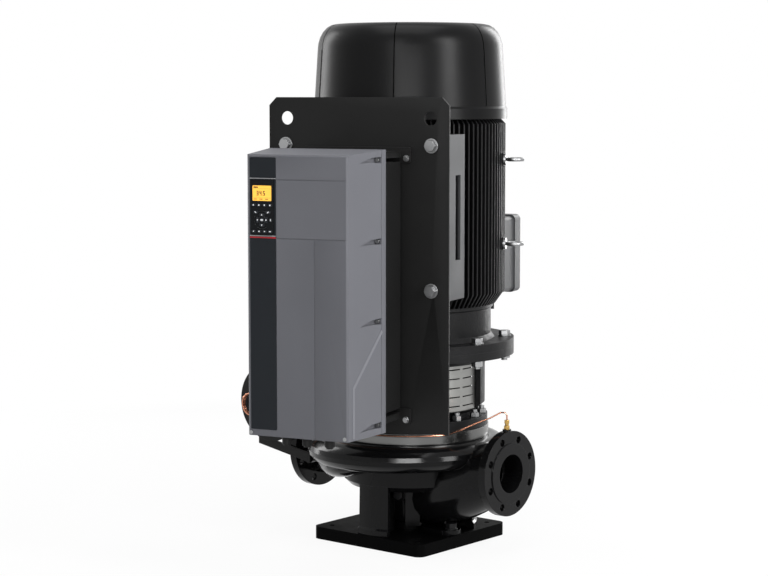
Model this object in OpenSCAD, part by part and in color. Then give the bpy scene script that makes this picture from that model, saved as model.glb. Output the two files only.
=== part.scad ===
// Single-stage in-line circulating pump with a vertical motor and a plate-mounted speed drive.
// Origin: centre of the base plate's underside. X runs along the pipe, towards the suction flange.

/* [Base plate] */
// Side of the square base plate
base_w = 368; // [350:1:390]
// Thickness of the base plate
base_t = 33; // [24:1:42]
// Radius of the base plate's corners
base_corner_r = 22; // [10:1:35]
// Distance between foundation holes along each side
base_hole_pitch = 294; // [275:1:305]
// Diameter of a foundation hole
base_hole_d = 14; // [10:1:20]

/* [Pipe flanges] */
// Distance from the suction face to the discharge face
port_length = 670; // [650:1:700]
// Height of the pipe axis above the underside of the base plate
port_z = 210; // [202:1:222]
// Bore of both ports
port_bore_d = 100; // [92:1:104]
// Outside diameter of a pipe flange
port_flange_d = 220; // [212:1:235]
// Thickness of a pipe flange, with its raised face
port_flange_t = 24; // [18:1:30]
// Diameter of the raised sealing face
port_face_d = 158; // [150:1:160]
// Height of the raised sealing face
port_face_h = 3; // [2:0.5:4]
// Bolt circle of a pipe flange
port_pcd = 180; // [178:1:184]
// Diameter of a bolt hole in the suction flange
suction_hole_d = 19; // [14:1:20]
// Diameter of a bolt hole in the discharge flange
discharge_hole_d = 19.4; // [14:0.1:20]
// Number of bolt holes in a pipe flange
port_hole_count = 8; // [4:4:8]

/* [Casing] */
// Outside radius of the casing's collar under the pump head
collar_r = 209; // [204:1:214]
// Height of the casing's top face
casing_top_z = 283; // [280:1:290]
// Outside radius of the lower ledge
ledge_r = 175; // [165:1:182]
// Height of the ledge's underside
ledge_z = 150; // [144:1:156]
// Radius of the impeller chamber
chamber_r = 163; // [160:1:166]
// Height of the impeller chamber's floor
chamber_z = 210; // [207:1:212]
// Outside radius of the scroll at the tongue
scroll_r0 = 246; // [240:1:252]
// Outside radius of the scroll at the end of its turn
scroll_r1 = 274; // [268:1:280]
// Wall thickness of the scroll
casing_wall = 13; // [10:1:16]
// Outside radius of the suction pot
pot_r = 84; // [80:1:90]
// Outside radius of the three-legged skirt
skirt_r = 180; // [176:1:182]
// Wall thickness of the skirt's legs
skirt_wall = 24; // [16:1:30]
// Angle that each leg of the skirt covers
leg_angle = 30; // [24:1:34]
// Angle of the front leg
leg_a0 = -85; // [-90:1:-80]

/* [Pump head and stool] */
// Thickness of the pump head's turned rim
head_t = 27; // [24:1:30]
// Thickness of the stool's lower flange
stool_foot_t = 27; // [22:1:32]
// Outside radius of the stool's lower flange
stool_foot_r = 206; // [203:1:208]
// Circle of the studs through stool, head and casing
stud_circle_r = 191; // [189:1:192]
// Number of studs
stud_count = 16; // [8:4:16]
// Thread diameter of the studs
stud_d = 14; // [12:1:16]
// Outside radius of the stool's legs
stool_r = 199; // [196:1:200]
// Height of the flange face between stool and motor
motor_face_z = 520; // [512:1:530]
// Thickness of the stool's upper flange
stool_flange_t = 21; // [18:1:24]
// Half width of a stool window, as an angle
window_half_angle = 22; // [16:1:24]
// Radius of the coupling guards
guard_r = 184; // [180:1:186]

/* [Motor] */
// Turn of motor, stool and drive about the pump axis
head_turn = 15; // [0:1:30]
// Outside diameter of the motor flange
motor_flange_d = 550; // [545:1:556]
// Distance from the motor flange's edge to its bolt circle
motor_flange_rim = 25; // [23:0.5:26]
// Thickness of the motor flange
motor_flange_t = 21; // [18:1:24]
// Distance from the motor flange's edge to the drive-end shield
shield_step = 61; // [58:1:65]
// Height where the motor frame starts
frame_z0 = 632; // [626:1:640]
// Height where the motor frame ends
frame_z1 = 1122; // [1114:1:1130]
// Radius to the tips of the cooling fins
fin_tip_r = 250; // [246:1:254]
// Radius at the roots of the cooling fins
fin_root_r = 212; // [208:1:216]
// Number of cooling fins around the frame
fin_count = 104; // [80:4:108]
// Thickness of a cooling fin
fin_t = 4; // [3:0.5:5]
// Radius of the motor shaft at the coupling
shaft_r = 30; // [28:1:32]

/* [Fan cover] */
// Height of the fan cover's rim
cowl_z0 = 1114; // [1108:1:1118]
// Height of the crease at the shoulder
cowl_z1 = 1290; // [1280:1:1296]
// Height of the fan cover's top
cowl_z2 = 1358; // [1350:1:1362]
// Radius of the flat top
cowl_top_r = 194; // [188:1:200]
// Radius of the rim
cowl_rim_r = 254; // [252:1:256]
// Radius at the crease
cowl_crease_r = 242; // [240:1:246]
// Sheet thickness of the fan cover
cowl_wall = 3; // [2:0.5:4]

/* [Terminal box] */
// Width of the terminal box
tbox_w = 320; // [300:1:330]
// Height of the terminal box
tbox_h = 215; // [200:1:225]
// Height of the terminal box's underside
tbox_z = 630; // [624:1:636]
// Distance from the motor axis to the back of the lid
tbox_back = 400; // [390:1:410]
// Thickness of the lid
tbox_lid_t = 38; // [30:1:46]

/* [Mounting plate] */
// Width of the mounting plate
plate_w = 494; // [486:1:502]
// Height of the plate's lower edge
plate_z0 = 340; // [330:1:346]
// Height of the plate's upper edge
plate_z1 = 1170; // [1160:1:1180]
// Distance from the motor axis to the plate's front
plate_front = 320; // [314:1:324]
// Thickness of the plate
plate_t = 6; // [5:0.5:8]
// Chamfer of the plate's upper corners
plate_chamfer = 20; // [10:1:26]
// Diameter of the lifting holes
lift_hole_d = 34; // [28:1:38]
// Half distance between the lifting holes
lift_hole_x = 197; // [190:1:204]
// Distance of the lifting holes below the upper edge
lift_hole_drop = 52; // [44:1:60]

/* [Side brackets] */
// Distance from the motor axis to a bracket's outer face
bracket_x = 244; // [241:1:245]
// Sheet thickness of a bracket
bracket_t = 8; // [6:1:10]
// Distance from the motor axis to a bracket's rear edge
bracket_back = 215; // [210:1:220]
// Height of a bracket's lower edge
bracket_z0 = 672; // [664:1:678]
// Height of a bracket's upper edge
bracket_z1 = 1079; // [1074:1:1084]
// Half distance between the upper and lower rows of plate bolts
plate_bolt_dz = 178; // [170:1:182]
// Half distance between the left and right plate bolts
plate_bolt_x = 200; // [196:1:204]

/* [Drive] */
// Distance from the motor axis to the drive's front
drive_front = 650; // [640:1:660]
// Distance from the motor axis to the cover's rear edge
cover_back = 486; // [480:1:492]
// Height of the drive's lower end
drive_z0 = 367; // [362:1:372]
// Height of the drive's upper end
drive_z1 = 1047; // [1042:1:1052]
// Width of the cover at its front
cover_front_w = 262; // [256:1:268]
// Width of the cover at its rear
cover_rear_w = 308; // [304:1:312]
// Slope of the cover's top, from rear to front
cover_slope = 11; // [6:1:14]
// Distance between the drive's mounting screws, crosswise
drive_screw_dx = 272; // [268:1:276]
// Distance between the drive's mounting screws, upright
drive_screw_dz = 648; // [644:1:652]
// Width of the heat sink
sink_w = 240; // [232:1:244]
// Width of the dark strip on the cover's front
strip_w = 69; // [64:1:72]
// Distance from the cover's front edge to the strip
strip_inset = 7; // [5:1:9]
// Proud height of the strip
strip_proud = 1; // [0.5:0.5:1.5]
// Depth that the strip is let in
strip_depth = 4; // [3:0.5:6]

/* [Keypad] */
// Width of the keypad
keypad_w = 60; // [58:0.5:62]
// Height of the keypad
keypad_h = 132; // [129:1:134]
// Height of the keypad's centre
keypad_z = 913; // [908:1:918]
// Proud height of the keypad over the strip
keypad_proud = 4; // [3:0.5:5]
// Proud height of a key at rest
key_proud = 1.6; // [1.4:0.1:2]
// Gap around a key
key_gap = 0.4; // [0.3:0.1:0.5]
// Full stroke of a key
key_stroke = 1; // [0.6:0.1:1.2]

/* [Rotating parts] */
// Radius of the impeller
impeller_r = 150; // [146:1:154]
// Number of impeller blades
blade_count = 6; // [5:1:8]
// Radius of the impeller's eye
eye_r = 58; // [54:1:60]
// Radius of the pump shaft
pump_shaft_r = 22; // [20:1:24]
// Radius of the coupling
coupling_r = 68; // [62:1:72]
// Radius of the rotor
rotor_r = 112; // [108:1:116]
// Radius of the cooling fan
fan_r = 185; // [175:1:195]
// Number of fan blades
fan_blade_count = 9; // [7:1:11]

/* [Impulse pipe] */
// Outside diameter of the copper pipe
pipe_d = 4; // [3:0.5:5]
// Radius of the spare coil
coil_r = 31; // [28:1:34]
// Radius of the sensor's backing plate
disc_r = 107; // [102:1:112]
// Thickness of the backing plate
disc_t = 5; // [4:0.5:7]

/* [Hidden] */
$fn = 96;

gap = 0.3;
thread_gap = 0.2;
port_x = port_length / 2;
motor_pcd = motor_flange_d - 2 * motor_flange_rim;
shield_r = motor_flange_d / 2 - shield_step;
neck_x = port_x - port_flange_t;
collar_z = 240;
head_z1 = casing_top_z + head_t;
foot_z1 = head_z1 + stool_foot_t;
stool_flange_z = motor_face_z - stool_flange_t;
shield_z = motor_face_z + motor_flange_t;
black = "#26272a";
dark = "#303134";
grey = "#6f7177";
cover_grey = "#7d7f85";
steel = "#b4b6b8";

// Space curves and lofts
function unit(v) = v / norm(v);
function bezier(p, t) = pow(1 - t, 3) * p[0] + 3 * pow(1 - t, 2) * t * p[1]
    + 3 * (1 - t) * t * t * p[2] + pow(t, 3) * p[3];
function heading(p, t) = unit(bezier(p, min(1, t + 0.01)) - bezier(p, max(0, t - 0.01)));
function ring(c, d, a, b, n) = let (s = unit(cross([0, 0, 1], d)), u = cross(d, s))
    [for (i = [0:n - 1]) c + a * cos(360 * i / n) * s + b * sin(360 * i / n) * u];
module loft(rings) {
    n = len(rings[0]);
    m = len(rings);
    polyhedron(
        points = [for (r = rings) each r],
        faces = concat(
            [[for (i = [0:n - 1]) i]],
            [[for (i = [n - 1:-1:0]) (m - 1) * n + i]],
            [for (k = [0:m - 2], i = [0:n - 1]) each
                let (a = k * n + i, b = k * n + (i + 1) % n, c = a + n, d = b + n)
                [[a, c, b], [b, c, d]]]));
}

module turned() { rotate([0, 0, head_turn]) children(); }
module ring_at(r, count, a0 = 0) {
    for (i = [0:count - 1]) rotate([0, 0, a0 + 360 * i / count]) translate([r, 0, 0]) children();
}
module plate_2d(w, h, r) {
    square([w - 2 * r, h], center = true);
    square([w, h - 2 * r], center = true);
    for (x = [-1, 1], y = [-1, 1]) translate([x * (w / 2 - r), y * (h / 2 - r)]) circle(r);
}
// Extrudes an outline drawn as seen from the front, towards the front
module on_front(x, dist, z, h) { translate([x, -dist, z]) rotate([90, 0, 0]) linear_extrude(h) children(); }
module hex(af, h) { cylinder(r = af / sqrt(3), h = h, $fn = 6); }
module annulus(r1, r0, h) { difference() { cylinder(r = r1, h = h); translate([0, 0, -1]) cylinder(r = r0, h = h + 2); } }
module hex_screw(d, af, head, shank) {
    hex(af, head);
    translate([0, 0, -shank]) cylinder(d = d, h = shank + 1);
}

// Base plate
module base_plate() {
    color(dark) difference() {
        linear_extrude(base_t) plate_2d(base_w, base_w, base_corner_r);
        for (x = [-1, 1], y = [-1, 1])
            translate([x * base_hole_pitch / 2, y * base_hole_pitch / 2, -1])
                cylinder(d = base_hole_d, h = base_t + 2);
        ring_at(foot_bolt_r, 2, foot_bolt_a) translate([0, 0, -1]) cylinder(d = foot_bolt_d + 1, h = base_t + 2);
    }
}
foot_bolt_r = 160;
foot_bolt_a = -8;
foot_bolt_d = 16;
foot_t = 12;
module base_bolts() {
    color(steel) ring_at(foot_bolt_r, 2, foot_bolt_a) {
        translate([0, 0, base_t + foot_t]) {
            annulus(16, foot_bolt_d / 2 + 0.3, 3);
            translate([0, 0, 3]) {
                hex(26, 13);
                translate([0, 0, -foot_t - base_t]) cylinder(d = foot_bolt_d, h = foot_t + base_t);
            }
        }
    }
}

// Scroll: a fan of sections that grow clockwise from the tongue
scroll_a0 = 160;
scroll_sweep = 312;
scroll_z = 281;
function scroll_out(s) = scroll_r0 + (scroll_r1 - scroll_r0) * s;
function scroll_w(s) = 26 + 26 * s;
function scroll_h(s) = 22 + 18 * s;
function scroll_ring(s, wall, n) =
    let (a = scroll_a0 - scroll_sweep * s, w = scroll_w(s) - wall, h = scroll_h(s) - wall,
         r = scroll_out(s) - scroll_w(s), z = scroll_z - scroll_h(s))
    [for (i = [0:n - 1]) let (f = 360 * i / n, q = r + w * cos(f))
        [q * cos(a), q * sin(a), z + h * sin(f)]];
module scroll(wall, steps, n) { loft([for (k = [0:steps]) scroll_ring(k / steps, wall, n)]); }

// Discharge duct, from its round nose at the front to the discharge flange
duct_path = [[5, -205, 238], [-150, -212, 227], [-175, 0, port_z], [-neck_x - 4, 0, port_z]];
function duct_r(t, inner) = inner ? 22 + 24 * sqrt(t) : 34 + 40 * sqrt(t);
module discharge_duct(inner, n) {
    nose = [75, 50, 25];
    d0 = heading(duct_path, 0);
    r0 = duct_r(0, inner);
    loft(concat(
        [for (a = nose) ring(duct_path[0] - d0 * r0 * sin(a), d0, r0 * cos(a), r0 * cos(a), n)],
        [for (k = [0:10]) let (t = k / 10, r = duct_r(t, inner))
            ring(bezier(duct_path, t), heading(duct_path, t), r, r, n)]));
}

// Suction duct, from the suction flange down to the pot under the impeller
suction_path = [[neck_x + 4, 0, port_z], [230, 0, port_z], [150, 0, 120], [30, 0, 118]];
// The duct stays inside the bore as far as the bore is drilled, and widens behind it
function suction_r(t, inner) = inner ? 46 + 20 * max(0, t - 0.4) : 76 + 15 * sin(180 * t) - 2 * t;
module suction_duct(inner, n) {
    loft([for (k = [0:10]) let (t = k / 10, r = suction_r(t, inner))
        ring(bezier(suction_path, t), heading(suction_path, t), r, r, n)]);
}

module pipe_flange() {
    // Drawn with its face at x = port_x, facing +X
    translate([port_x, 0, port_z]) rotate([0, -90, 0]) {
        cylinder(d = port_face_d, h = port_flange_t);
        translate([0, 0, port_face_h]) cylinder(d = port_flange_d, h = port_flange_t - port_face_h);
    }
}
module port_drilling(hole_d) {
    translate([port_x + 1, 0, port_z]) rotate([0, -90, 0]) {
        cylinder(d = port_bore_d, h = bore_depth + 1);
        ring_at(port_pcd / 2, port_hole_count, 180 / port_hole_count) cylinder(d = hole_d, h = port_flange_t + 8);
    }
}
pot_z0 = 50;
pot_round = 16;
pot_wall = 14;
module pot_body() {
    rotate_extrude() polygon(concat(
        [[0, pot_z0]],
        [for (a = [-90:15:0]) [pot_r - pot_round + pot_round * cos(a), pot_z0 + pot_round + pot_round * sin(a)]],
        [[pot_r, ledge_z + 10], [0, ledge_z + 10]]));
}
ledge_chamfer = 14;
module casing_core() {
    rotate_extrude() polygon([[0, ledge_z], [ledge_r - ledge_chamfer, ledge_z], [ledge_r, ledge_z + ledge_chamfer],
        [ledge_r, 215], [collar_r - 12, collar_z - 14], [collar_r, collar_z], [collar_r, casing_top_z],
        [0, casing_top_z]]);
}
leg_web = 16;
module skirt_leg(a) {
    rotate([0, 0, a - leg_angle / 2]) rotate_extrude(angle = leg_angle)
        polygon([[skirt_r - skirt_wall, base_t], [skirt_r, base_t], [skirt_r, base_t + 14],
            [skirt_r - 5, base_t + 20], [ledge_r - 2, ledge_z + 20], [skirt_r - skirt_wall, ledge_z + 20]]);
    // Web from the leg to the suction pot
    rotate([0, 0, a]) translate([pot_r - 6, -leg_web / 2, base_t])
        cube([skirt_r - skirt_wall - pot_r + 12, leg_web, ledge_z - base_t + 4]);
}
module foot_lug(a) {
    rotate([0, 0, a]) {
        translate([0, -34, base_t]) cube([foot_bolt_r, 68, foot_t]);
        translate([foot_bolt_r - 12, 0, base_t]) cylinder(r = 34, h = foot_t);
    }
}
front_rib_a = -47;
plug_a = -68;
plug_z = 131;
flange_tap_h = 4;
casting_fn = 60;
// The casting's lofted forms and chambers, joined as one mesh before the flanges are drilled
module casting() {
    difference() {
        union() {
            casing_core();
            pot_body();
            scroll(0, 40, 18);
            discharge_duct(false, 20);
            suction_duct(false, 20);
            for (k = [0:2]) skirt_leg(leg_a0 + 120 * k);
            for (a = [foot_bolt_a, foot_bolt_a + 180]) foot_lug(a);
            cylinder_between(pot_r - 12, base_t, pot_z0 + 20);
            rotate([0, 0, front_rib_a]) translate([pot_r - 10, -19, pot_z0]) cube([34, 38, ledge_z - pot_z0 + 4]);
            rotate([0, 0, plug_a]) translate([pot_r - 12, 0, plug_z]) rotate([0, 90, 0]) cylinder(r = 19, h = 26, $fn = 24);
            // Boss for the sensor's arm
            translate([arm_end[0], -60, arm_end[1]]) rotate([90, 0, 0]) cylinder(r = 17, h = -arm_y - 60, $fn = 32);
        }
        // Nothing reaches above the face that carries the pump head
        cylinder_between(collar_r + 2, casing_top_z, casing_top_z + 60);
        scroll(casing_wall, 24, 12);
        discharge_duct(true, 14);
        suction_duct(true, 14);
        // Suction pot, eye, wear ring seat and impeller chamber
        cylinder_between(pot_r - pot_wall, pot_z0 + pot_wall, ledge_z);
        cylinder_between(eye_r, ledge_z - 10, chamber_z);
        cylinder_between(wear_out_r + gap, wear_z0, chamber_z + 1);
        cylinder_between(chamber_r + gap, chamber_z, casing_top_z + 1);
        // Stud holes, foundation bolts and drain
        ring_at(stud_circle_r, stud_count, stud_a0) translate([0, 0, casing_top_z - stud_sink - 6])
            cylinder(d = stud_d + 1, h = stud_sink + 7, $fn = 16);
        ring_at(foot_bolt_r, 2, foot_bolt_a) {
            translate([0, 0, base_t - 1]) cylinder(d = foot_bolt_d + 1, h = foot_t + 2, $fn = 24);
            translate([0, 0, base_t + foot_t]) cylinder(r = 20, h = 34, $fn = 24);
        }
        rotate([0, 0, plug_a]) translate([pot_r - 2, 0, plug_z]) rotate([0, 90, 0]) cylinder(d = tap_d + 1, h = 26, $fn = 24);
    }
}
module pump_housing() {
    color(black) difference() {
        union() {
            resize([0, 0, 0]) casting($fn = casting_fn);
            for (m = [0, 1]) mirror([m, 0, 0]) {
                pipe_flange();
                translate([tap_x, 0, port_z + port_flange_d / 2 - 8]) cylinder(r = 11, h = 8 + flange_tap_h);
            }
        }
        for (m = [0, 1]) mirror([m, 0, 0]) {
            port_drilling(m == 0 ? suction_hole_d : discharge_hole_d);
            translate([tap_x, 0, tap_top - 14]) cylinder(d = tap_d, h = 20);
        }
    }
}
bore_depth = 60;
stud_sink = 24;
stud_a0 = 11.25;
tap_d = 12;
wear_z0 = 194;
wear_out_r = 76;
wear_in_r = 67;
module wear_ring() {
    color(steel) translate([0, 0, wear_z0]) annulus(wear_out_r, wear_in_r, 15);
}
module plugs() {
    color(steel) {
        // Gauge plug on the discharge flange
        translate([-tap_x, 0, tap_top]) {
            hex(17, 10);
            translate([0, 0, -12]) cylinder(d = tap_d, h = 12);
        }
        rotate([0, 0, plug_a]) translate([pot_r + 14, 0, plug_z]) rotate([0, 90, 0]) {
            hex(22, 10);
            translate([0, 0, -12]) cylinder(d = tap_d, h = 12);
        }
        // Vent screw in the pump head
        rotate([0, 0, vent_a]) translate([vent_r, 0, head_z1]) {
            hex(17, 12);
            translate([0, 0, -12]) cylinder(d = tap_d, h = 12);
            translate([0, 0, 12]) cylinder(r = 4, h = 10);
        }
    }
}
vent_a = 80;
vent_r = 105;

// Pump head, with the seal chamber
seal_hub_r = 62;
seal_hub_z = 352;
spigot_t = 8;
module pump_head() {
    color(steel) difference() {
        union() {
            translate([0, 0, casing_top_z]) cylinder(r = collar_r, h = head_t);
            translate([0, 0, casing_top_z - spigot_t]) cylinder(r = chamber_r - gap, h = spigot_t + 1);
            cylinder_between(seal_hub_r, head_z1 - 1, seal_hub_z);
        }
        translate([0, 0, casing_top_z - spigot_t - 1]) cylinder(r = 36, h = seal_hub_z - casing_top_z);
        translate([0, 0, casing_top_z]) cylinder(r = pump_shaft_r + 1.5, h = seal_hub_z);
        ring_at(stud_circle_r, stud_count, stud_a0) translate([0, 0, casing_top_z - 1])
            cylinder(d = stud_d + 1, h = head_t + 2);
        rotate([0, 0, vent_a]) translate([vent_r, 0, head_z1 - 12]) cylinder(d = tap_d, h = 13);
    }
}
module cylinder_between(r, z0, z1) { translate([0, 0, z0]) cylinder(r = r, h = z1 - z0); }
module head_studs() {
    color(steel) ring_at(stud_circle_r, stud_count, stud_a0) {
        cylinder_between(stud_d / 2, casing_top_z - stud_sink, foot_z1 + 20);
        translate([0, 0, foot_z1]) rotate([0, 0, 15]) hex(21, 12);
    }
}

// Motor stool: a lantern with four windows
window_z0 = 358;
window_z1 = 482;
window_a0 = -19.5;
stool_wall = 15;
module stool_window(r1) {
    for (k = [0:3]) rotate([0, 0, window_a0 + 90 * k - window_half_angle])
        rotate_extrude(angle = 2 * window_half_angle) translate([60, window_z0]) square([r1 - 60, window_z1 - window_z0]);
}
module motor_stool() {
    lower_r = stud_circle_r - 16;
    color(black) turned() difference() {
        union() {
            cylinder_between(stool_foot_r, head_z1, foot_z1);
            rotate_extrude() polygon([[0, foot_z1 - 1], [lower_r, foot_z1 - 1], [lower_r, foot_z1 + 12],
                [stool_r, foot_z1 + 32], [stool_r, stool_flange_z - 26], [stool_r + 14, stool_flange_z],
                [stool_r + 14, stool_flange_z + 1], [0, stool_flange_z + 1]]);
            cylinder_between(motor_flange_d / 2, stool_flange_z, motor_face_z);
        }
        rotate_extrude() polygon([[0, head_z1 - 1], [lower_r - stool_wall, head_z1 - 1], [lower_r - stool_wall, foot_z1 + 16],
            [stool_r - stool_wall, foot_z1 + 36], [stool_r - stool_wall, motor_face_z + 1], [0, motor_face_z + 1]]);
        stool_window(stool_r + 4);
        ring_at(stud_circle_r, stud_count, stud_a0 - head_turn) translate([0, 0, head_z1 - 1])
            cylinder(d = stud_d + 1, h = stool_foot_t + 2);
        ring_at(motor_pcd / 2, 8, 22.5) translate([0, 0, stool_flange_z - 1])
            cylinder(d = flange_bolt_d + 1, h = stool_flange_t + 2);
    }
}
// Slotted guards in the stool's windows
guard_t = 1.5;
module coupling_guards() {
    color("#c3c5c8") turned() for (k = [0:3]) rotate([0, 0, window_a0 + 90 * k]) difference() {
        rotate([0, 0, -window_half_angle + guard_inset]) rotate_extrude(angle = 2 * (window_half_angle - guard_inset))
            translate([guard_r - guard_t, window_z0 + 0.5]) square([guard_t, window_z1 - window_z0 - 1]);
        for (i = [-1, 1], j = [0:4]) rotate([0, 0, i * 9.5])
            translate([guard_r - 8, -slot_w / 2, window_z0 + 14 + j * (window_z1 - window_z0 - 28) / 4 - slot_h / 2]) cube([12, slot_w, slot_h]);
    }
}
guard_inset = 1.5;
slot_w = 50;
slot_h = 3;

// Motor
flange_bolt_d = 16;
module motor_flange() {
    color(black) turned() difference() {
        union() {
            cylinder_between(motor_flange_d / 2, motor_face_z, shield_z);
            rotate_extrude() polygon([[0, shield_z - 1], [shield_r + 10, shield_z - 1], [shield_r, shield_z + 12],
                [shield_r, frame_z0 - 12], [shield_r + 5, frame_z0 - 9], [shield_r + 5, frame_z0], [0, frame_z0]]);
            ring_at(shield_r + 6, 4, 45) translate([-20, -14, frame_z0 - 28]) cube([36, 28, 28]);
        }
        translate([0, 0, motor_face_z - 1]) cylinder(r = 62 + gap, h = 200);
        cylinder_between(150, motor_face_z - 1, motor_face_z + 8);
        translate([0, 0, motor_face_z + 8]) cylinder(r = 100, h = 30);
        cylinder_between(bearing_r, bearing_z0, frame_z0 + 1);
        cylinder_between(shield_r - 24, bearing_z0 + 32, frame_z0 + 1);
        ring_at(motor_pcd / 2, 8, 22.5) translate([0, 0, motor_face_z - 1])
            cylinder(d = flange_bolt_d + 1, h = motor_flange_t + 2);
    }
}
module flange_bolts() {
    color(steel) turned() ring_at(motor_pcd / 2, 8, 22.5) {
        cylinder_between(flange_bolt_d / 2, stool_flange_z - 22, shield_z + 4);
        translate([0, 0, shield_z]) { annulus(17, flange_bolt_d / 2, 3); translate([0, 0, 3]) hex(26, 12); }
        translate([0, 0, stool_flange_z - 16]) hex(26, 16);
    }
}
// Cooling fins stand radially round the frame, with bevelled ends
fin_bevel = 21;
pad_half_angle = 34;
module motor_frame() {
    color(black) turned() difference() {
        union() {
            cylinder_between(fin_root_r, frame_z0, frame_z1);
            intersection() {
                translate([0, 0, frame_z0]) linear_extrude(frame_z1 - frame_z0)
                    for (i = [0:fin_count - 1]) rotate(360 * (i + 0.5) / fin_count)
                        translate([fin_root_r - 4, -fin_t / 2]) square([fin_tip_r - fin_root_r + 4, fin_t]);
                rotate_extrude() polygon([[fin_root_r - 8, frame_z0], [fin_root_r + 14, frame_z0],
                    [fin_tip_r, frame_z0 + 34], [fin_tip_r, frame_z1 - fin_bevel], [fin_tip_r - fin_bevel, frame_z1],
                    [fin_root_r - 8, frame_z1]]);
            }
            // Seat for the terminal box, and pads for the brackets and the eye bolts
            translate([-tbox_w / 2 + 20, 0, tbox_z + 12]) cube([tbox_w - 40, tbox_seat, tbox_h - 24]);
            for (x = [-1, 1], z = [bracket_mid_z - plate_bolt_dz, bracket_mid_z + plate_bolt_dz])
                translate([x * bracket_pad_x - 22, -bracket_back, z - 26]) cube([44, 60, 52]);
            for (z = eye_z) rotate([0, 0, eye_a]) translate([fin_root_r - 12, 0, z]) rotate([0, 90, 0])
                cylinder(r = 17, h = fin_tip_r - fin_root_r + 14);
        }
        cylinder_between(stator_r, frame_z0 - 1, frame_z1 + 1);
        // Fins stop short of the brackets
        for (m = [0, 1]) mirror([m, 0, 0]) translate([bracket_pad_x - 34, -fin_tip_r - 10, bracket_z0 - 6])
            cube([bracket_x - bracket_pad_x + 40, fin_tip_r + 10 - bracket_back, bracket_z1 - bracket_z0 + 12]);
        for (z = eye_z) rotate([0, 0, eye_a]) translate([fin_tip_r - 22, 0, z]) rotate([0, 90, 0]) cylinder(r = 6 + thread_gap, h = 60);
        for (x = [-1, 1], z = [bracket_mid_z - plate_bolt_dz, bracket_mid_z + plate_bolt_dz])
            translate([x * bracket_pad_x, -bracket_back - 1, z]) rotate([-90, 0, 0]) cylinder(d = bracket_bolt_d + 2 * thread_gap, h = 24);
    }
}
eye_z = [790, 1009];
eye_a = 10;
tbox_seat = 262;
stator_r = 196;
bracket_pad_x = 128;
bracket_bolt_d = 12;
bracket_mid_z = 874;
stator_z0 = 720;
stator_z1 = 1010;
winding_h = 42;
module stator_core() {
    color("#8a5a3a") {
        translate([0, 0, stator_z0]) annulus(stator_r, rotor_r + 1.5, stator_z1 - stator_z0);
        for (z = [stator_z0 - winding_h, stator_z1]) translate([0, 0, z]) annulus(stator_r - 16, rotor_r + 14, winding_h);
    }
}
shield_plate_t = 18;
shield_top_z = frame_z1 + shield_plate_t;
rear_bearing_z = frame_z1;
module rear_shield() {
    color(black) turned() difference() {
        union() {
            cylinder_between(fin_root_r, frame_z1, shield_top_z);
            cylinder_between(stator_r - gap, frame_z1 - 12, frame_z1 + 1);
            cylinder_between(bearing_r + 11, shield_top_z - 1, rear_hub_z);
            // Lugs that carry the fan cover
            ring_at(fin_root_r - 6, 4, 45) translate([-4, -16, frame_z1]) cube([cowl_seat_r - fin_root_r + 10, 32, lug_h]);
        }
        cylinder_between(bearing_r, frame_z1 - 13, rear_bearing_z + bearing_h);
        cylinder_between(170, frame_z1 - 13, frame_z1 + 6);
        cylinder_between(shaft_r + 6, frame_z1 - 13, rear_hub_z + 1);
        ring_at(0, 4, 45) translate([cowl_seat_r - 16, 0, cowl_screw_z]) rotate([0, 90, 0]) cylinder(d = small_d + 2 * thread_gap, h = 20);
    }
}
cowl_seat_r = cowl_rim_r - cowl_wall - 4;
lug_h = 16;
cowl_screw_z = frame_z1 + lug_h / 2;
bearing_r = 75;
bearing_h = 27;
rear_hub_z = rear_bearing_z + bearing_h + 12;
bearing_z0 = 566;
race_out_r = 62;
race_in_r = 46;
ball_r = 7.6;
ball_count = 9;
// Ball bearings: outer races and balls
module bearing_at(z) {
    translate([0, 0, z]) {
        rotate_extrude() difference() {
            translate([race_out_r - 4, 0]) square([bearing_r - race_out_r + 4, bearing_h]);
            translate([(race_out_r + race_in_r) / 2, bearing_h / 2]) circle(ball_r + 0.1);
        }
        ring_at((race_out_r + race_in_r) / 2, ball_count) translate([0, 0, bearing_h / 2]) sphere(ball_r);
    }
}
module bearings() {
    color(steel) {
        bearing_at(bearing_z0);
        bearing_at(rear_bearing_z);
    }
}

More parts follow.
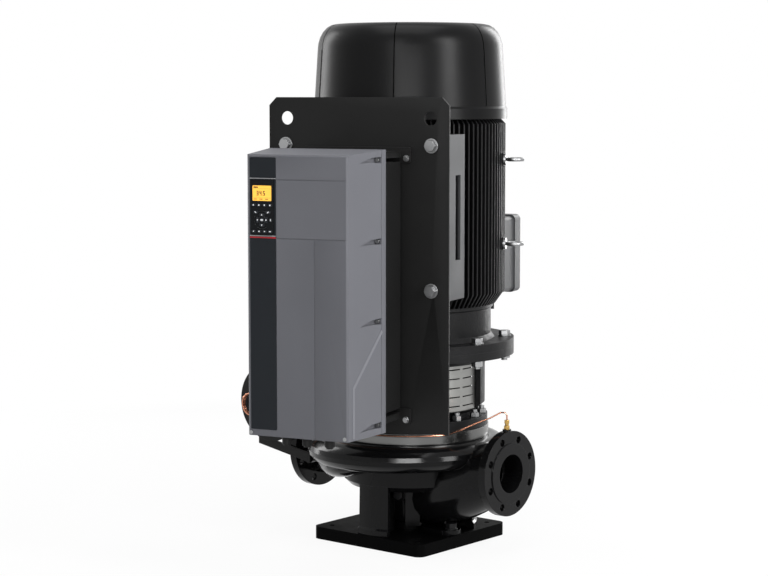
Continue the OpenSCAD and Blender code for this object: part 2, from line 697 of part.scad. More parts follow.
// Fan cover
function shoulder(a) = [cowl_top_r + (cowl_crease_r - cowl_top_r) * cos(a), cowl_z1 + (cowl_z2 - cowl_z1) * sin(a)];
function inset(p) = [p[0] - cowl_wall, p[1] - cowl_wall];
cowl_seam_a = -75.5;
rim_band = 26;
grille_rings = [60, 84, 108, 132, 156, 180];
grille_bar = 9;
module fan_cover() {
    color(dark) turned() difference() {
        union() {
            rotate_extrude() polygon(concat(
                [[cowl_rim_r - cowl_wall, cowl_z0], [cowl_rim_r, cowl_z0], [cowl_rim_r, cowl_z0 + rim_band],
                 [cowl_rim_r - 3, cowl_z0 + rim_band + 6]],
                [for (a = [0:15:90]) shoulder(a)],
                [[0, cowl_z2], [0, cowl_z2 - cowl_wall]],
                [for (a = [90:-15:0]) inset(shoulder(a))],
                [[cowl_rim_r - 3 - cowl_wall, cowl_z0 + rim_band + 6], [cowl_rim_r - cowl_wall, cowl_z0 + rim_band]]));
            // Pressed ribs run up the side of the cover
            for (k = [0:5]) rotate([0, 0, cowl_seam_a + 60 * k]) translate([0, 0, cowl_z0 + rim_band + 6])
                rotate([0, 0, -0.6]) rotate_extrude(angle = 1.2)
                    polygon([[cowl_rim_r - 4, 0], [cowl_rim_r - 2.2, 0], [cowl_crease_r + 0.8, cowl_z1 - cowl_z0 - rim_band - 6],
                        [cowl_crease_r - 1, cowl_z1 - cowl_z0 - rim_band - 6]]);
            ring_at(0, 4, 45) translate([cowl_rim_r - cowl_wall + 0.5, 0, cowl_screw_z]) rotate([0, -90, 0]) cylinder(r = 8, h = 4);
        }
        translate([0, 0, cowl_z2 - cowl_wall - 1]) linear_extrude(cowl_wall + 2) difference() {
            for (k = [0:4]) difference() {
                circle(grille_rings[k] + 24 - 8);
                circle(grille_rings[k]);
            }
            for (k = [0:5]) rotate(k * 60) translate([0, -grille_bar / 2]) square([cowl_top_r, grille_bar]);
        }
        ring_at(0, 4, 45) translate([cowl_rim_r - 30, 0, cowl_screw_z]) rotate([0, 90, 0]) cylinder(d = small_d + 2 * thread_gap, h = 40);
    }
}
small_d = 6;
// Small screws for the fan cover, the coupling guards and the terminal box lid
module small_screw() {
    cylinder(r = 6.5, h = 1.4);
    hex(10, 5);
    translate([0, 0, -12]) cylinder(d = small_d, h = 13);
}
lid_screw_dx = tbox_w / 2 - 16;
lid_screw_dz = tbox_h / 2 - 16;
module small_screws() {
    color(steel) turned() {
        for (k = [0:3]) rotate([0, 0, 45 + 90 * k]) translate([cowl_rim_r, 0, cowl_screw_z]) rotate([0, 90, 0]) small_screw();
        for (x = [-1, 1], z = [-1, 1])
            translate([x * lid_screw_dx, tbox_back, tbox_z + tbox_h / 2 + z * lid_screw_dz]) rotate([-90, 0, 0]) small_screw();
    }
}

// Terminal box on the back of the motor
tbox_joint = tbox_back - tbox_lid_t;
module tbox_outline(grow) { plate_2d(tbox_w + grow, tbox_h + grow, 14); }
module on_back(dist, z, h) { translate([0, dist, z]) rotate([-90, 0, 0]) linear_extrude(h) children(); }
module terminal_box() {
    color(grey) turned() difference() {
        union() {
            on_back(tbox_seat, tbox_z + tbox_h / 2, tbox_joint - tbox_seat) tbox_outline(-8);
            on_back(tbox_joint - 8, tbox_z + tbox_h / 2, 8) tbox_outline(0);
        }
        on_back(tbox_seat + 8, tbox_z + tbox_h / 2, tbox_joint - tbox_seat) tbox_outline(-24 - 8);
        for (x = gland_x) translate([x, gland_y, tbox_z - 1]) cylinder(r = 16, h = 20);
    }
}
gland_x = [-70, 70];
gland_y = (tbox_seat + tbox_joint) / 2;
module terminal_box_lid() {
    color(grey) turned() difference() {
        union() {
            on_back(tbox_joint, tbox_z + tbox_h / 2, tbox_lid_t - 6) tbox_outline(0);
            on_back(tbox_back - 8, tbox_z + tbox_h / 2, 8) tbox_outline(-14);
        }
        for (x = [-1, 1], z = [-1, 1])
            translate([x * lid_screw_dx, tbox_back - 14, tbox_z + tbox_h / 2 + z * lid_screw_dz])
                rotate([-90, 0, 0]) cylinder(d = small_d + 2 * thread_gap, h = 30);
    }
}
// Cable glands under the terminal box and under the drive
module gland(body_r) {
    translate([0, 0, -4]) cylinder(r = body_r * 0.8, h = 8);
    translate([0, 0, -12]) hex(body_r * 2, 10);
    translate([0, 0, -30]) cylinder(r = body_r * 0.86, h = 18);
    translate([0, 0, -34]) cylinder(r = body_r * 0.62, h = 5);
}
drive_gland_x = [-70, -15, 45];
drive_gland_y = (cover_back + drive_front) / 2 + 2;
module cable_glands() {
    color(black) turned() {
        for (x = gland_x) translate([x, gland_y, tbox_z + 4]) gland(19);
        for (x = drive_gland_x) translate([x, -drive_gland_y, drive_z0]) gland(14);
    }
}
eye_r_ring = 20;
eye_wire = 5;
module eye_bolts() {
    color(steel) turned() for (z = eye_z) rotate([0, 0, eye_a]) {
        translate([fin_tip_r - 16, 0, z]) rotate([0, 90, 0]) cylinder(r = 6, h = 20);
        translate([fin_tip_r + 2, 0, z]) rotate([0, 90, 0]) cylinder(r = 15, h = 6);
        translate([fin_tip_r + 2 + 6 + eye_r_ring + eye_wire - 2, 0, z]) rotate_extrude() translate([eye_r_ring, 0]) circle(eye_wire);
    }
}

// Brackets between the motor and the mounting plate
module bracket() {
    // Drawn on the +X side
    zh = bracket_z1 - bracket_z0;
    plate_back = plate_front - plate_t;
    difference() {
        union() {
            translate([bracket_x - bracket_t, -plate_back, bracket_z0]) cube([bracket_t, plate_back - bracket_back, zh]);
            translate([bracket_pad_x - 30, -bracket_back - bracket_t, bracket_z0])
                cube([bracket_x - bracket_pad_x + 30 - 1, bracket_t, zh]);
            translate([plate_bolt_x - 28, -plate_back, bracket_z0]) cube([bracket_x - plate_bolt_x + 28 - 1, bracket_t, zh]);
        }
        translate([bracket_x - bracket_t - 1, -plate_back + 42, bracket_mid_z - bracket_slot_h / 2]) cube([bracket_t + 2, 32, bracket_slot_h]);
        for (z = [bracket_mid_z - plate_bolt_dz, bracket_mid_z + plate_bolt_dz]) {
            translate([bracket_pad_x, -bracket_back - bracket_t - 1, z]) rotate([-90, 0, 0]) cylinder(d = bracket_bolt_d + 1, h = bracket_t + 2);
            translate([plate_bolt_x, -plate_back - 1, z]) rotate([-90, 0, 0]) cylinder(d = bracket_bolt_d + 1, h = bracket_t + 2);
        }
    }
}
bracket_slot_h = 210;
module side_brackets() {
    color(grey) turned() {
        bracket();
        mirror([1, 0, 0]) bracket();
    }
}
module bracket_bolt(grip, tail) {
    // Head faces -Y
    rotate([90, 0, 0]) {
        annulus(18, bracket_bolt_d / 2, 3);
        translate([0, 0, 3]) hex(24, 11);
        translate([0, 0, -grip - tail]) cylinder(d = bracket_bolt_d, h = grip + tail + 4);
    }
}
module bracket_bolts() {
    color(steel) turned() for (x = [-1, 1], z = [bracket_mid_z - plate_bolt_dz, bracket_mid_z + plate_bolt_dz]) {
        translate([x * plate_bolt_x, -plate_front, z]) bracket_bolt(plate_t + bracket_t, 14);
        translate([x * plate_bolt_x, -plate_front + plate_t + bracket_t, z]) rotate([-90, 0, 0]) hex(19, 10);
        translate([x * bracket_pad_x, -bracket_back - bracket_t, z]) bracket_bolt(bracket_t, 20);
    }
}
module mount_plate() {
    w = plate_w / 2;
    c = plate_chamfer;
    color(dark) turned() difference() {
        translate([0, -plate_front + plate_t, 0]) rotate([90, 0, 0]) linear_extrude(plate_t) difference() {
            polygon([[-w, plate_z0], [w, plate_z0], [w, plate_z1 - c], [w - c, plate_z1], [-w + c, plate_z1], [-w, plate_z1 - c]]);
            for (x = [-1, 1]) translate([x * lift_hole_x, plate_z1 - lift_hole_drop]) circle(d = lift_hole_d);
            for (x = [-1, 1], z = [-1, 1]) translate([x * plate_bolt_x, bracket_mid_z + z * plate_bolt_dz]) circle(d = bracket_bolt_d + 1);
            for (x = [-1, 1], z = [-1, 1]) translate([x * drive_screw_dx / 2, drive_screw_z + z * drive_screw_dz / 2]) circle(d = drive_screw_d + 1);
        }
    }
}
drive_screw_z = 697;
drive_screw_d = 8;

// Drive: black finned heat sink, grey cover, strip and keypad
sink_fin_count = 13;
sink_fin_t = 3;
sink_core = 60;
ear_t = 8;
module drive_heatsink() {
    color(black) turned() difference() {
        union() {
            // Base that carries the cover
            translate([-sink_w / 2, -cover_back, drive_z0 + 14]) cube([sink_w, sink_core, drive_z1 - drive_z0 - 28]);
            // Fins towards the plate
            for (i = [0:sink_fin_count - 1])
                translate([-sink_w / 2 + i * (sink_w - sink_fin_t) / (sink_fin_count - 1), -cover_back + sink_core - 1, drive_z0 + 34])
                    cube([sink_fin_t, cover_back - sink_core - plate_front - ear_t + 2, drive_z1 - drive_z0 - 68]);
            // End frames with mounting ears
            for (z = [drive_z0 - 4, drive_z1 - 36]) {
                translate([-sink_w / 2, -cover_back + 20, z + 12]) cube([sink_w, cover_back - plate_front - 20, 16]);
                on_front(0, plate_front, z + 18, ear_t) plate_2d(drive_screw_dx + 24, 38, 6);
            }
        }
        for (x = [-1, 1], z = [-1, 1]) translate([x * drive_screw_dx / 2, -plate_front + 1, drive_screw_z + z * drive_screw_dz / 2])
            rotate([90, 0, 0]) cylinder(d = drive_screw_d + 1, h = ear_t + 2);
    }
}
cover_z1_front = drive_z1 - cover_slope;
module cover_block() {
    f = cover_front_w / 2;
    r = cover_rear_w / 2;
    lip = cover_back + 10;
    loft([for (k = [[r, cover_back, drive_z1], [r, lip, drive_z1], [f + 2, drive_front - 5, cover_z1_front + 1], [f - 3, drive_front, cover_z1_front - 3]])
        [[-k[0], -k[1], drive_z0], [-k[0], -k[1], k[2]], [k[0], -k[1], k[2]], [k[0], -k[1], drive_z0]]]);
}
strip_x = -cover_front_w / 2 + strip_inset + strip_w / 2;
strip_z0 = 383;
strip_z1 = 1030;
groove_d = 1;
spindle_z = [1023, 830, 639, 389];
// Wedge-shaped recess that leads a screwdriver to a cover screw, drawn on the +X side
recess_floor_x = 136.5;
recess_len = 98;
recess_h = 15;
rim_depth = 20;
module finger_recess(z) {
    intersection() {
        translate([0, -cover_back - rim_depth, z - recess_h]) linear_extrude(2 * recess_h)
            polygon([[recess_floor_x, 0], [cover_rear_w, 0], [cover_rear_w, -recess_len], [recess_floor_x + 3, -recess_len]]);
        translate([recess_floor_x - 5, -cover_back - rim_depth, z]) rotate([90, 0, 90]) linear_extrude(cover_rear_w)
            polygon([[0, -recess_h / 2], [0, recess_h / 2], [-recess_len * 0.45, recess_h * 0.36], [-recess_len, -recess_h * 0.42],
                [-recess_len * 0.5, -recess_h * 0.34]]);
    }
}
corner_screw_x = cover_front_w / 2 - 7;
corner_screw_z = drive_z0 + 7;
module drive_cover() {
    color(cover_grey) turned() difference() {
        cover_block();
        for (z = spindle_z, m = [0, 1]) mirror([m, 0, 0]) finger_recess(z);
        // Groove in front of the rear rim, on both sides and on the top
        for (m = [0, 1]) mirror([m, 0, 0]) translate([rim_groove_x, -cover_back - rim_depth - 2, drive_z0 - 1])
            cube([10, 2, drive_z1 - drive_z0 + 2]);
        translate([-cover_rear_w / 2, -cover_back - rim_depth - 2, drive_z1 - 2]) cube([cover_rear_w, 2, 10]);
        // Let-in for the strip
        on_front(strip_x, drive_front - strip_depth, (strip_z0 + strip_z1) / 2, strip_depth + 5) plate_2d(strip_w + 0.6, strip_z1 - strip_z0 + 0.6, 3);
        // Grooves of the front
        for (z = groove_z) translate([strip_x + strip_w / 2 + 3, -drive_front - 1, z - 1]) cube([cover_front_w, groove_d + 1, 2]);
        translate([groove_x, -drive_front - 1, drive_z0 - 1]) cube([2, groove_d + 1, groove_z[1] - drive_z0]);
        // Holes of the cover's screws
        for (z = spindle_z, m = [0, 1]) mirror([m, 0, 0]) translate([spindle_x, -cover_back - rim_depth - 8, z])
            rotate([-90, 0, 0]) cylinder(d = spindle_d + 2 * thread_gap, h = 50);
        for (m = [0, 1]) mirror([m, 0, 0]) translate([corner_screw_x, -drive_front - 1, corner_screw_z])
            rotate([-90, 0, 0]) cylinder(d = corner_screw_d + 2 * thread_gap, h = 20);
        // Cable entries
        for (x = drive_gland_x) translate([x, -drive_gland_y, drive_z0 - 1]) cylinder(r = 11.2 + gap, h = 6);
    }
}
groove_z = [978, 840];
groove_x = 45;
spindle_x = 143;
spindle_d = 7;
corner_screw_d = 4;
rim_groove_x = 151.4;
module control_strip() {
    color("#232528") turned() difference() {
        on_front(strip_x, drive_front - strip_depth + 0.1, (strip_z0 + strip_z1) / 2, strip_depth + strip_proud - 0.1)
            plate_2d(strip_w, strip_z1 - strip_z0, 2.5);
        on_front(strip_x, drive_front - strip_depth + keypad_seat, keypad_z, 20) plate_2d(keypad_w + 0.6, keypad_h + 0.6, 4);
    }
}
keypad_seat = 1;
module drive_screws() {
    color(steel) turned() {
        for (x = [-1, 1], z = [-1, 1]) translate([x * drive_screw_dx / 2, -plate_front - ear_t, drive_screw_z + z * drive_screw_dz / 2])
            rotate([90, 0, 0]) {
                annulus(8, drive_screw_d / 2, 1.5);
                translate([0, 0, 1.5]) hex(11, 5);
                translate([0, 0, -ear_t - plate_t - 4]) cylinder(d = drive_screw_d, h = ear_t + plate_t + 6);
            }
        for (z = spindle_z, m = [0, 1]) mirror([m, 0, 0]) translate([spindle_x, -cover_back, z]) rotate([90, 0, 0]) {
            cylinder(d = spindle_d, h = rim_depth + 2);
            translate([0, 0, rim_depth + gap]) cylinder(r = 5, h = 7);
        }
        for (m = [0, 1]) mirror([m, 0, 0]) translate([corner_screw_x, -drive_front, corner_screw_z]) rotate([90, 0, 0]) {
            cylinder(r = 4.5, h = 1.6);
            translate([0, 0, -12]) cylinder(d = corner_screw_d, h = 13);
        }
    }
}

// Keypad: the keys' places and sizes are measured from the keypad's centre
keypad_face = drive_front + strip_proud + keypad_proud;
row_pitch = 14.6;
KEYS = [
    // name, x, z, width, height
    ["key_status", -1.5, 5, 11, 5.4], ["key_menu", -0.5, 5, 11, 5.4], ["key_main", 0.5, 5, 11, 5.4], ["key_log", 1.5, 5, 11, 5.4],
    ["key_back", -1.13, -12, 13, 7], ["key_cancel", 1.13, -12, 13, 7],
    ["key_up", 0, -18, 14, 7], ["key_left", -0.8, -30, 7, 14], ["key_ok", 0, -30, 11, 11], ["key_right", 0.8, -30, 7, 14],
    ["key_down", 0, -42, 14, 7], ["key_info", 1.62, -30, 7, 7],
    ["key_hand", -1.5, -57, 11, 6], ["key_off", -0.5, -57, 11, 6], ["key_auto", 0.5, -57, 11, 6], ["key_reset", 1.5, -57, 11, 6]];
key_depth = 2.4;
module key_cap(i) {
    k = KEYS[i];
    color("#8e9196") turned()
        on_front(strip_x + k[1] * row_pitch, keypad_face - key_depth, keypad_z + k[2], key_depth + key_proud)
            plate_2d(k[3], k[4], 2);
}
display_w = 50;
display_h = 36;
display_z = 33;
display_t = 1.5;
module keypad() {
    color("#2b2d30") turned() difference() {
        on_front(strip_x, drive_front - strip_depth + keypad_seat + 0.1, keypad_z, keypad_face - drive_front + strip_depth - keypad_seat - 0.1)
            plate_2d(keypad_w, keypad_h, 4);
        for (k = KEYS) on_front(strip_x + k[1] * row_pitch, keypad_face - key_depth - key_stroke - gap, keypad_z + k[2], 20)
            plate_2d(k[3] + 2 * key_gap, k[4] + 2 * key_gap, 2 + key_gap);
        on_front(strip_x, keypad_face - display_t, keypad_z + display_z, 20) plate_2d(display_w + 0.2, display_h + 0.2, 2);
    }
}
module display() {
    color("orange") turned() on_front(strip_x, keypad_face - display_t, keypad_z + display_z, display_t - 0.3)
        plate_2d(display_w, display_h, 2);
}

// Shaft seal
seal_z = 300;
module seal_seat() {
    color("#55504a") translate([0, 0, seal_z + 14]) annulus(36 - gap, pump_shaft_r + 3, 14);
}
module seal_rotor() {
    color(steel) {
        translate([0, 0, seal_z + 14 - gap - 10]) annulus(33, pump_shaft_r, 10);
        translate([0, 0, hub_top_z]) annulus(31, pump_shaft_r, seal_z + 4 - gap - hub_top_z);
    }
}

// Rotating parts
hub_top_z = 274;
back_shroud_z = 262;
module motor_shaft() {
    color(steel) rotate_extrude() difference() {
        polygon([[0, 430], [shaft_r, 430], [shaft_r, 540], [35, 540], [35, bearing_z0], [race_in_r + 3, bearing_z0],
            [race_in_r + 3, bearing_z0 + bearing_h], [42, bearing_z0 + bearing_h], [42, 700], [46, 700], [46, 1030], [42, 1030],
            [42, rear_bearing_z - 2], [race_in_r + 3, rear_bearing_z - 2], [race_in_r + 3, rear_bearing_z + bearing_h - 1],
            [32, rear_bearing_z + bearing_h - 1], [32, fan_z0 + fan_h - 4], [0, fan_z0 + fan_h - 4]]);
        for (z = [bearing_z0, rear_bearing_z]) translate([(race_out_r + race_in_r) / 2, z + bearing_h / 2]) circle(ball_r + gap);
    }
}
module rotor_core() {
    color("#7c7e80") {
        translate([0, 0, stator_z0 + 2]) annulus(rotor_r, 46, stator_z1 - stator_z0 - 4);
        for (z = [stator_z0 - 14, stator_z1 - 2]) translate([0, 0, z]) annulus(rotor_r - 4, 60, 16);
    }
}
fan_z0 = rear_hub_z + 10;
fan_h = 62;
module cooling_fan() {
    color("#3a3b3d") {
        translate([0, 0, fan_z0]) annulus(fan_r, 32, 5);
        translate([0, 0, fan_z0]) annulus(52, 32, fan_h - 6);
        for (i = [0:fan_blade_count - 1]) rotate([0, 0, i * 360 / fan_blade_count]) translate([48, -2, fan_z0 + 4])
            cube([fan_r - 50, 4, fan_h - 4]);
    }
}
coupling_z0 = 368;
coupling_z1 = 484;
module coupling() {
    color("#9b9da0") difference() {
        union() {
            for (s = [-1, 1]) intersection() {
                cylinder_between(coupling_r, coupling_z0, coupling_z1);
                translate([-coupling_r, s > 0 ? 0.5 : -coupling_r - 0.5, coupling_z0]) cube([2 * coupling_r, coupling_r, coupling_z1 - coupling_z0]);
            }
            for (x = [-1, 1], z = coupling_screw_z, s = [-1, 1]) translate([x * 50, s * coupling_flat, z])
                rotate([-90 * s, 0, 0]) translate([0, 0, -1]) hex(16, 9);
        }
        cylinder_between(shaft_r, 428, coupling_z1 + 1);
        cylinder_between(pump_shaft_r, coupling_z0 - 1, 429);
    }
}
coupling_screw_z = [396, 456];
coupling_flat = 46;
module pump_shaft() {
    color(steel) {
        cylinder_between(pump_shaft_r, 226, 426);
        cylinder_between(12, 196, 227);
        translate([0, 0, 202]) hex(34, 20);
    }
}
// Closed impeller with backward-curved blades
function blade_pt(r, off) = let (a = -70 * (r - 45) / (impeller_r - 45) + off * 57.3 / r) [r * cos(a), r * sin(a)];
blade_t = 7;
module impeller_body() {
    // Back shroud and hub
    translate([0, 0, back_shroud_z]) cylinder(r = impeller_r, h = 6);
    cylinder_between(40, 224, hub_top_z);
    // Front shroud with its running skirt
    rotate_extrude() polygon([[eye_r, 198], [wear_in_r - gap, 198], [wear_in_r - gap, 212], [88, 222], [impeller_r, 228],
        [impeller_r, 234], [86, 228], [eye_r, 218]]);
    intersection() {
        for (i = [0:blade_count - 1]) rotate([0, 0, i * 360 / blade_count]) translate([0, 0, 214]) linear_extrude(50)
            polygon(concat([for (r = [38:15:impeller_r - 1]) blade_pt(r, 0)],
                [for (r = [impeller_r - 1:-15:38]) blade_pt(r, blade_t)]));
        rotate_extrude() polygon([[36, 224], [eye_r + 2, 220], [88, 225], [impeller_r, 230], [impeller_r, 264], [36, 264]]);
    }
}
module impeller() {
    color("#a08a5c") difference() {
        resize([0, 0, 0]) impeller_body($fn = 48);
        cylinder_between(pump_shaft_r, 220, hub_top_z + 1);
        cylinder_between(24, 215, 226);
    }
}

// Impulse pipe and sensor
tap_x = neck_x + 9;
tap_top = port_z + port_flange_d / 2 + flange_tap_h;
module brass_fittings() {
    color("#b08a3c") {
        translate([tap_x, 0, tap_top]) fitting();
        translate(sensor_port) rotate([90, 0, 0]) fitting();
    }
}
fitting_h = 24;
pipe_grip = 4;
module fitting() {
    difference() {
        union() {
            hex(14, 9);
            translate([0, 0, 9]) cylinder(r = 5, h = 6);
            translate([0, 0, 15]) hex(12, fitting_h - 15);
            translate([0, 0, -10]) cylinder(d = tap_d - 1, h = 10);
        }
        translate([0, 0, fitting_h - pipe_grip - 1]) cylinder(r = pipe_d / 2 + gap, h = 10);
    }
}
arm_t = 8;
disc_c = [-395, -120, 336];
arm_y = disc_c[1] + arm_t;
sensor_len = 46;
sensor_port = [disc_c[0] + 30, disc_c[1] - disc_t - sensor_len, disc_c[2]];
coil_c = [-452, disc_c[1] - disc_t - pipe_d / 2 - gap, 327];
wrap_r = collar_r + pipe_d / 2 + gap;
wrap_z = head_z1 - 4;
function coil_pt(a) = coil_c + [coil_r * cos(a), pipe_d * 1.15 * a / 360, coil_r * sin(a)];
function wrap_pt(a) = [wrap_r * cos(a), wrap_r * sin(a), wrap_z];
pipe_points = concat(
    [[tap_x, 0, tap_top + fitting_h - pipe_grip], [tap_x, 0, tap_top + 36], [tap_x - 5, -1, tap_top + 42], [tap_x - 16, -4, tap_top + 42],
     [285, -26, 352], [258, -52, 338], [232, -78, 322]],
    [for (a = [-24:-6:-150]) wrap_pt(a)],
    [[-225, -140, wrap_z + 2], [-300, -150, wrap_z], [-360, -140, wrap_z - 3], [-410, -130, wrap_z - 6]],
    [for (k = [0:37]) coil_pt(-70 - 24 * k)],
    [[-442, -140, 362], [-412, -168, 362], [-384, -198, 350], sensor_port + [0, -38, 3], sensor_port + [0, -34, 0], sensor_port + [0, pipe_grip - fitting_h, 0]]);
module impulse_pipe() {
    p = pipe_points;
    n = len(p);
    color("#b8704a") loft([for (i = [0:n - 1])
        let (d = unit(p[min(n - 1, i + 1)] - p[max(0, i - 1)]),
             s = unit(cross(abs(d[2]) > 0.9 ? [0, 1, 0] : [0, 0, 1], d)), u = cross(d, s))
        [for (k = [0:7]) p[i] + pipe_d / 2 * (cos(45 * k) * s + sin(45 * k) * u)]]);
}
module sensor_plate() {
    color(black) translate([disc_c[0], disc_c[1], disc_c[2]]) rotate([90, 0, 0]) cylinder(r = disc_r, h = disc_t);
}
module sensor_body() {
    color("#55585c") translate([disc_c[0] + 30, disc_c[1] - disc_t, disc_c[2]]) rotate([90, 0, 0]) difference() {
        union() {
            cylinder(r = 24, h = 18);
            cylinder(r = 18, h = sensor_len - 12);
            hex(24, sensor_len);
        }
        translate([0, 0, sensor_len - 12]) cylinder(d = tap_d, h = 13);
    }
}
arm_end = [-262, 199];
module sensor_arm() {
    color(black) translate([0, arm_y, 0]) rotate([90, 0, 0]) linear_extrude(arm_t)
        polygon([[-440, 242], [-440, 218], [arm_end[0] + 12, arm_end[1] - 14], [arm_end[0] + 12, arm_end[1] + 12]]);
}

base_plate();
base_bolts();
pump_housing();
wear_ring();
plugs();
pump_head();
head_studs();
motor_stool();
coupling_guards();
motor_flange();
flange_bolts();
motor_frame();
stator_core();
rear_shield();
bearings();
fan_cover();
small_screws();
terminal_box();
terminal_box_lid();
cable_glands();
eye_bolts();
side_brackets();
bracket_bolts();
mount_plate();
drive_heatsink();
drive_cover();
control_strip();
drive_screws();
keypad();
display();
seal_seat();
brass_fittings();
impulse_pipe();
sensor_plate();
sensor_body();
sensor_arm();
motor_shaft();
rotor_core();
cooling_fan();
coupling();
pump_shaft();
impeller();
seal_rotor();
key_cap(0);  // key_status
key_cap(1);  // key_menu
key_cap(2);  // key_main
key_cap(3);  // key_log
key_cap(4);  // key_back
key_cap(5);  // key_cancel
key_cap(6);  // key_up
key_cap(7);  // key_left
key_cap(8);  // key_ok
key_cap(9);  // key_right
key_cap(10);  // key_down
key_cap(11);  // key_info
key_cap(12);  // key_hand
key_cap(13);  // key_off
key_cap(14);  // key_auto
key_cap(15);  // key_reset
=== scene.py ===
import math

import bmesh
import bpy
from mathutils import Matrix, Vector
from mathutils.bvhtree import BVHTree


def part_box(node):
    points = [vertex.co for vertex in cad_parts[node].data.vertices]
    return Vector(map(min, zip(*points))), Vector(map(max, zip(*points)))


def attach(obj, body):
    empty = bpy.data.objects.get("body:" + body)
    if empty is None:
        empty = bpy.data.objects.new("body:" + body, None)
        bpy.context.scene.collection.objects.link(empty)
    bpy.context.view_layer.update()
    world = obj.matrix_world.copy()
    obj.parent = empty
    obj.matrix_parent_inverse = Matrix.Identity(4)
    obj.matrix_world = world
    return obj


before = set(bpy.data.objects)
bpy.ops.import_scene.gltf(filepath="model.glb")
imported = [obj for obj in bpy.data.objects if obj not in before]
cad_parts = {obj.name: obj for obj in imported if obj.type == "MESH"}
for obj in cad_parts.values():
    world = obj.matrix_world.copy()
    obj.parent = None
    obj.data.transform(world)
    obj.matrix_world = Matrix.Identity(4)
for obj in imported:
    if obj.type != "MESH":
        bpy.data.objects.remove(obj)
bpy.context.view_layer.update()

bl_info = {
    "name": "In-line pump dressing",
    "version": (1, 0, 0),
    "blender": (4, 5, 0),
    "location": "3D View > Sidebar > Pump",
    "description": "Finishes, keypad marks, display picture, trim and studio for a vertical in-line pump",
    "category": "Object",
}

# The motor, its stool and the drive are turned on the pump by this angle
HEAD_TURN = math.radians(15)
TURNED = Matrix.Rotation(HEAD_TURN, 4, "Z")
MM = 0.001


# Sizes and colours


class PumpSizes(bpy.types.PropertyGroup):
    """Sizes of the trim that the finishes add to the pump."""

    edge_round: bpy.props.FloatProperty(
        name="Edge rounding",
        description="Radius on the edges of castings and covers",
        default=1.6 * MM,
        unit="LENGTH",
    )
    accent_h: bpy.props.FloatProperty(
        name="Accent height",
        description="Height of the red line under the keypad",
        default=3.2 * MM,
        unit="LENGTH",
    )
    bar_h: bpy.props.FloatProperty(
        name="Bar height",
        description="Height of the grey bars over and under the keypad",
        default=2.2 * MM,
        unit="LENGTH",
    )
    trim_t: bpy.props.FloatProperty(
        name="Trim thickness",
        description="How far the bars and the red line stand proud",
        default=0.5 * MM,
        unit="LENGTH",
    )
    crease_w: bpy.props.FloatProperty(
        name="Crease width",
        description="Width of the crease on the cover's sides",
        default=8 * MM,
        unit="LENGTH",
    )
    seam_w: bpy.props.FloatProperty(
        name="Seam width",
        description="Width of the seams over the fan's cowl",
        default=2.6 * MM,
        unit="LENGTH",
    )
    mark_t: bpy.props.FloatProperty(
        name="Mark thickness",
        description="How far the keys' marks stand proud",
        default=0.15 * MM,
        unit="LENGTH",
    )
    digit_h: bpy.props.FloatProperty(
        name="Digit height",
        description="Height of the display's large digits",
        default=11 * MM,
        unit="LENGTH",
    )


def colour_setting(name, description, default):
    """A colour property with its own default."""
    return bpy.props.FloatVectorProperty(
        name=name, description=description, default=default, size=3, min=0.0, max=1.0, subtype="COLOR"
    )


class PumpColours(bpy.types.PropertyGroup):
    """Base colours of the pump's finishes."""

    gloss_black: colour_setting("Gloss black", "Coat of the pump casing", (0.004, 0.004, 0.0043))
    satin_black: colour_setting("Satin black", "Paint of the motor and its stool", (0.0075, 0.0075, 0.008))
    plate_black: colour_setting("Plate black", "Powder coat of the mounting plate", (0.008, 0.008, 0.008))
    box_grey: colour_setting("Box grey", "Paint of the brackets and the terminal box", (0.055, 0.056, 0.059))
    drive_grey: colour_setting("Drive grey", "Moulded cover of the drive", (0.119, 0.121, 0.135))
    strip_black: colour_setting("Strip black", "Control strip and keypad", (0.015, 0.0175, 0.021))
    accent_red: colour_setting("Accent red", "Line under the keypad", (0.42, 0.012, 0.02))
    display_amber: colour_setting("Display amber", "Lit display", (1.0, 0.5, 0.04))
    zinc: colour_setting("Zinc", "Plated screws, nuts and studs", (0.3, 0.303, 0.307))
    bare_steel: colour_setting("Bare steel", "Turned faces and shafts", (0.15, 0.15, 0.148))
    copper: colour_setting("Copper", "Impulse pipe", (0.6, 0.27, 0.17))
    brass: colour_setting("Brass", "Pipe fittings", (0.5, 0.32, 0.1))


def sizes():
    """The size settings of this scene."""
    return bpy.context.scene.pump_sizes


def colours():
    """The colour settings of this scene."""
    return bpy.context.scene.pump_colours


# Shader expressions


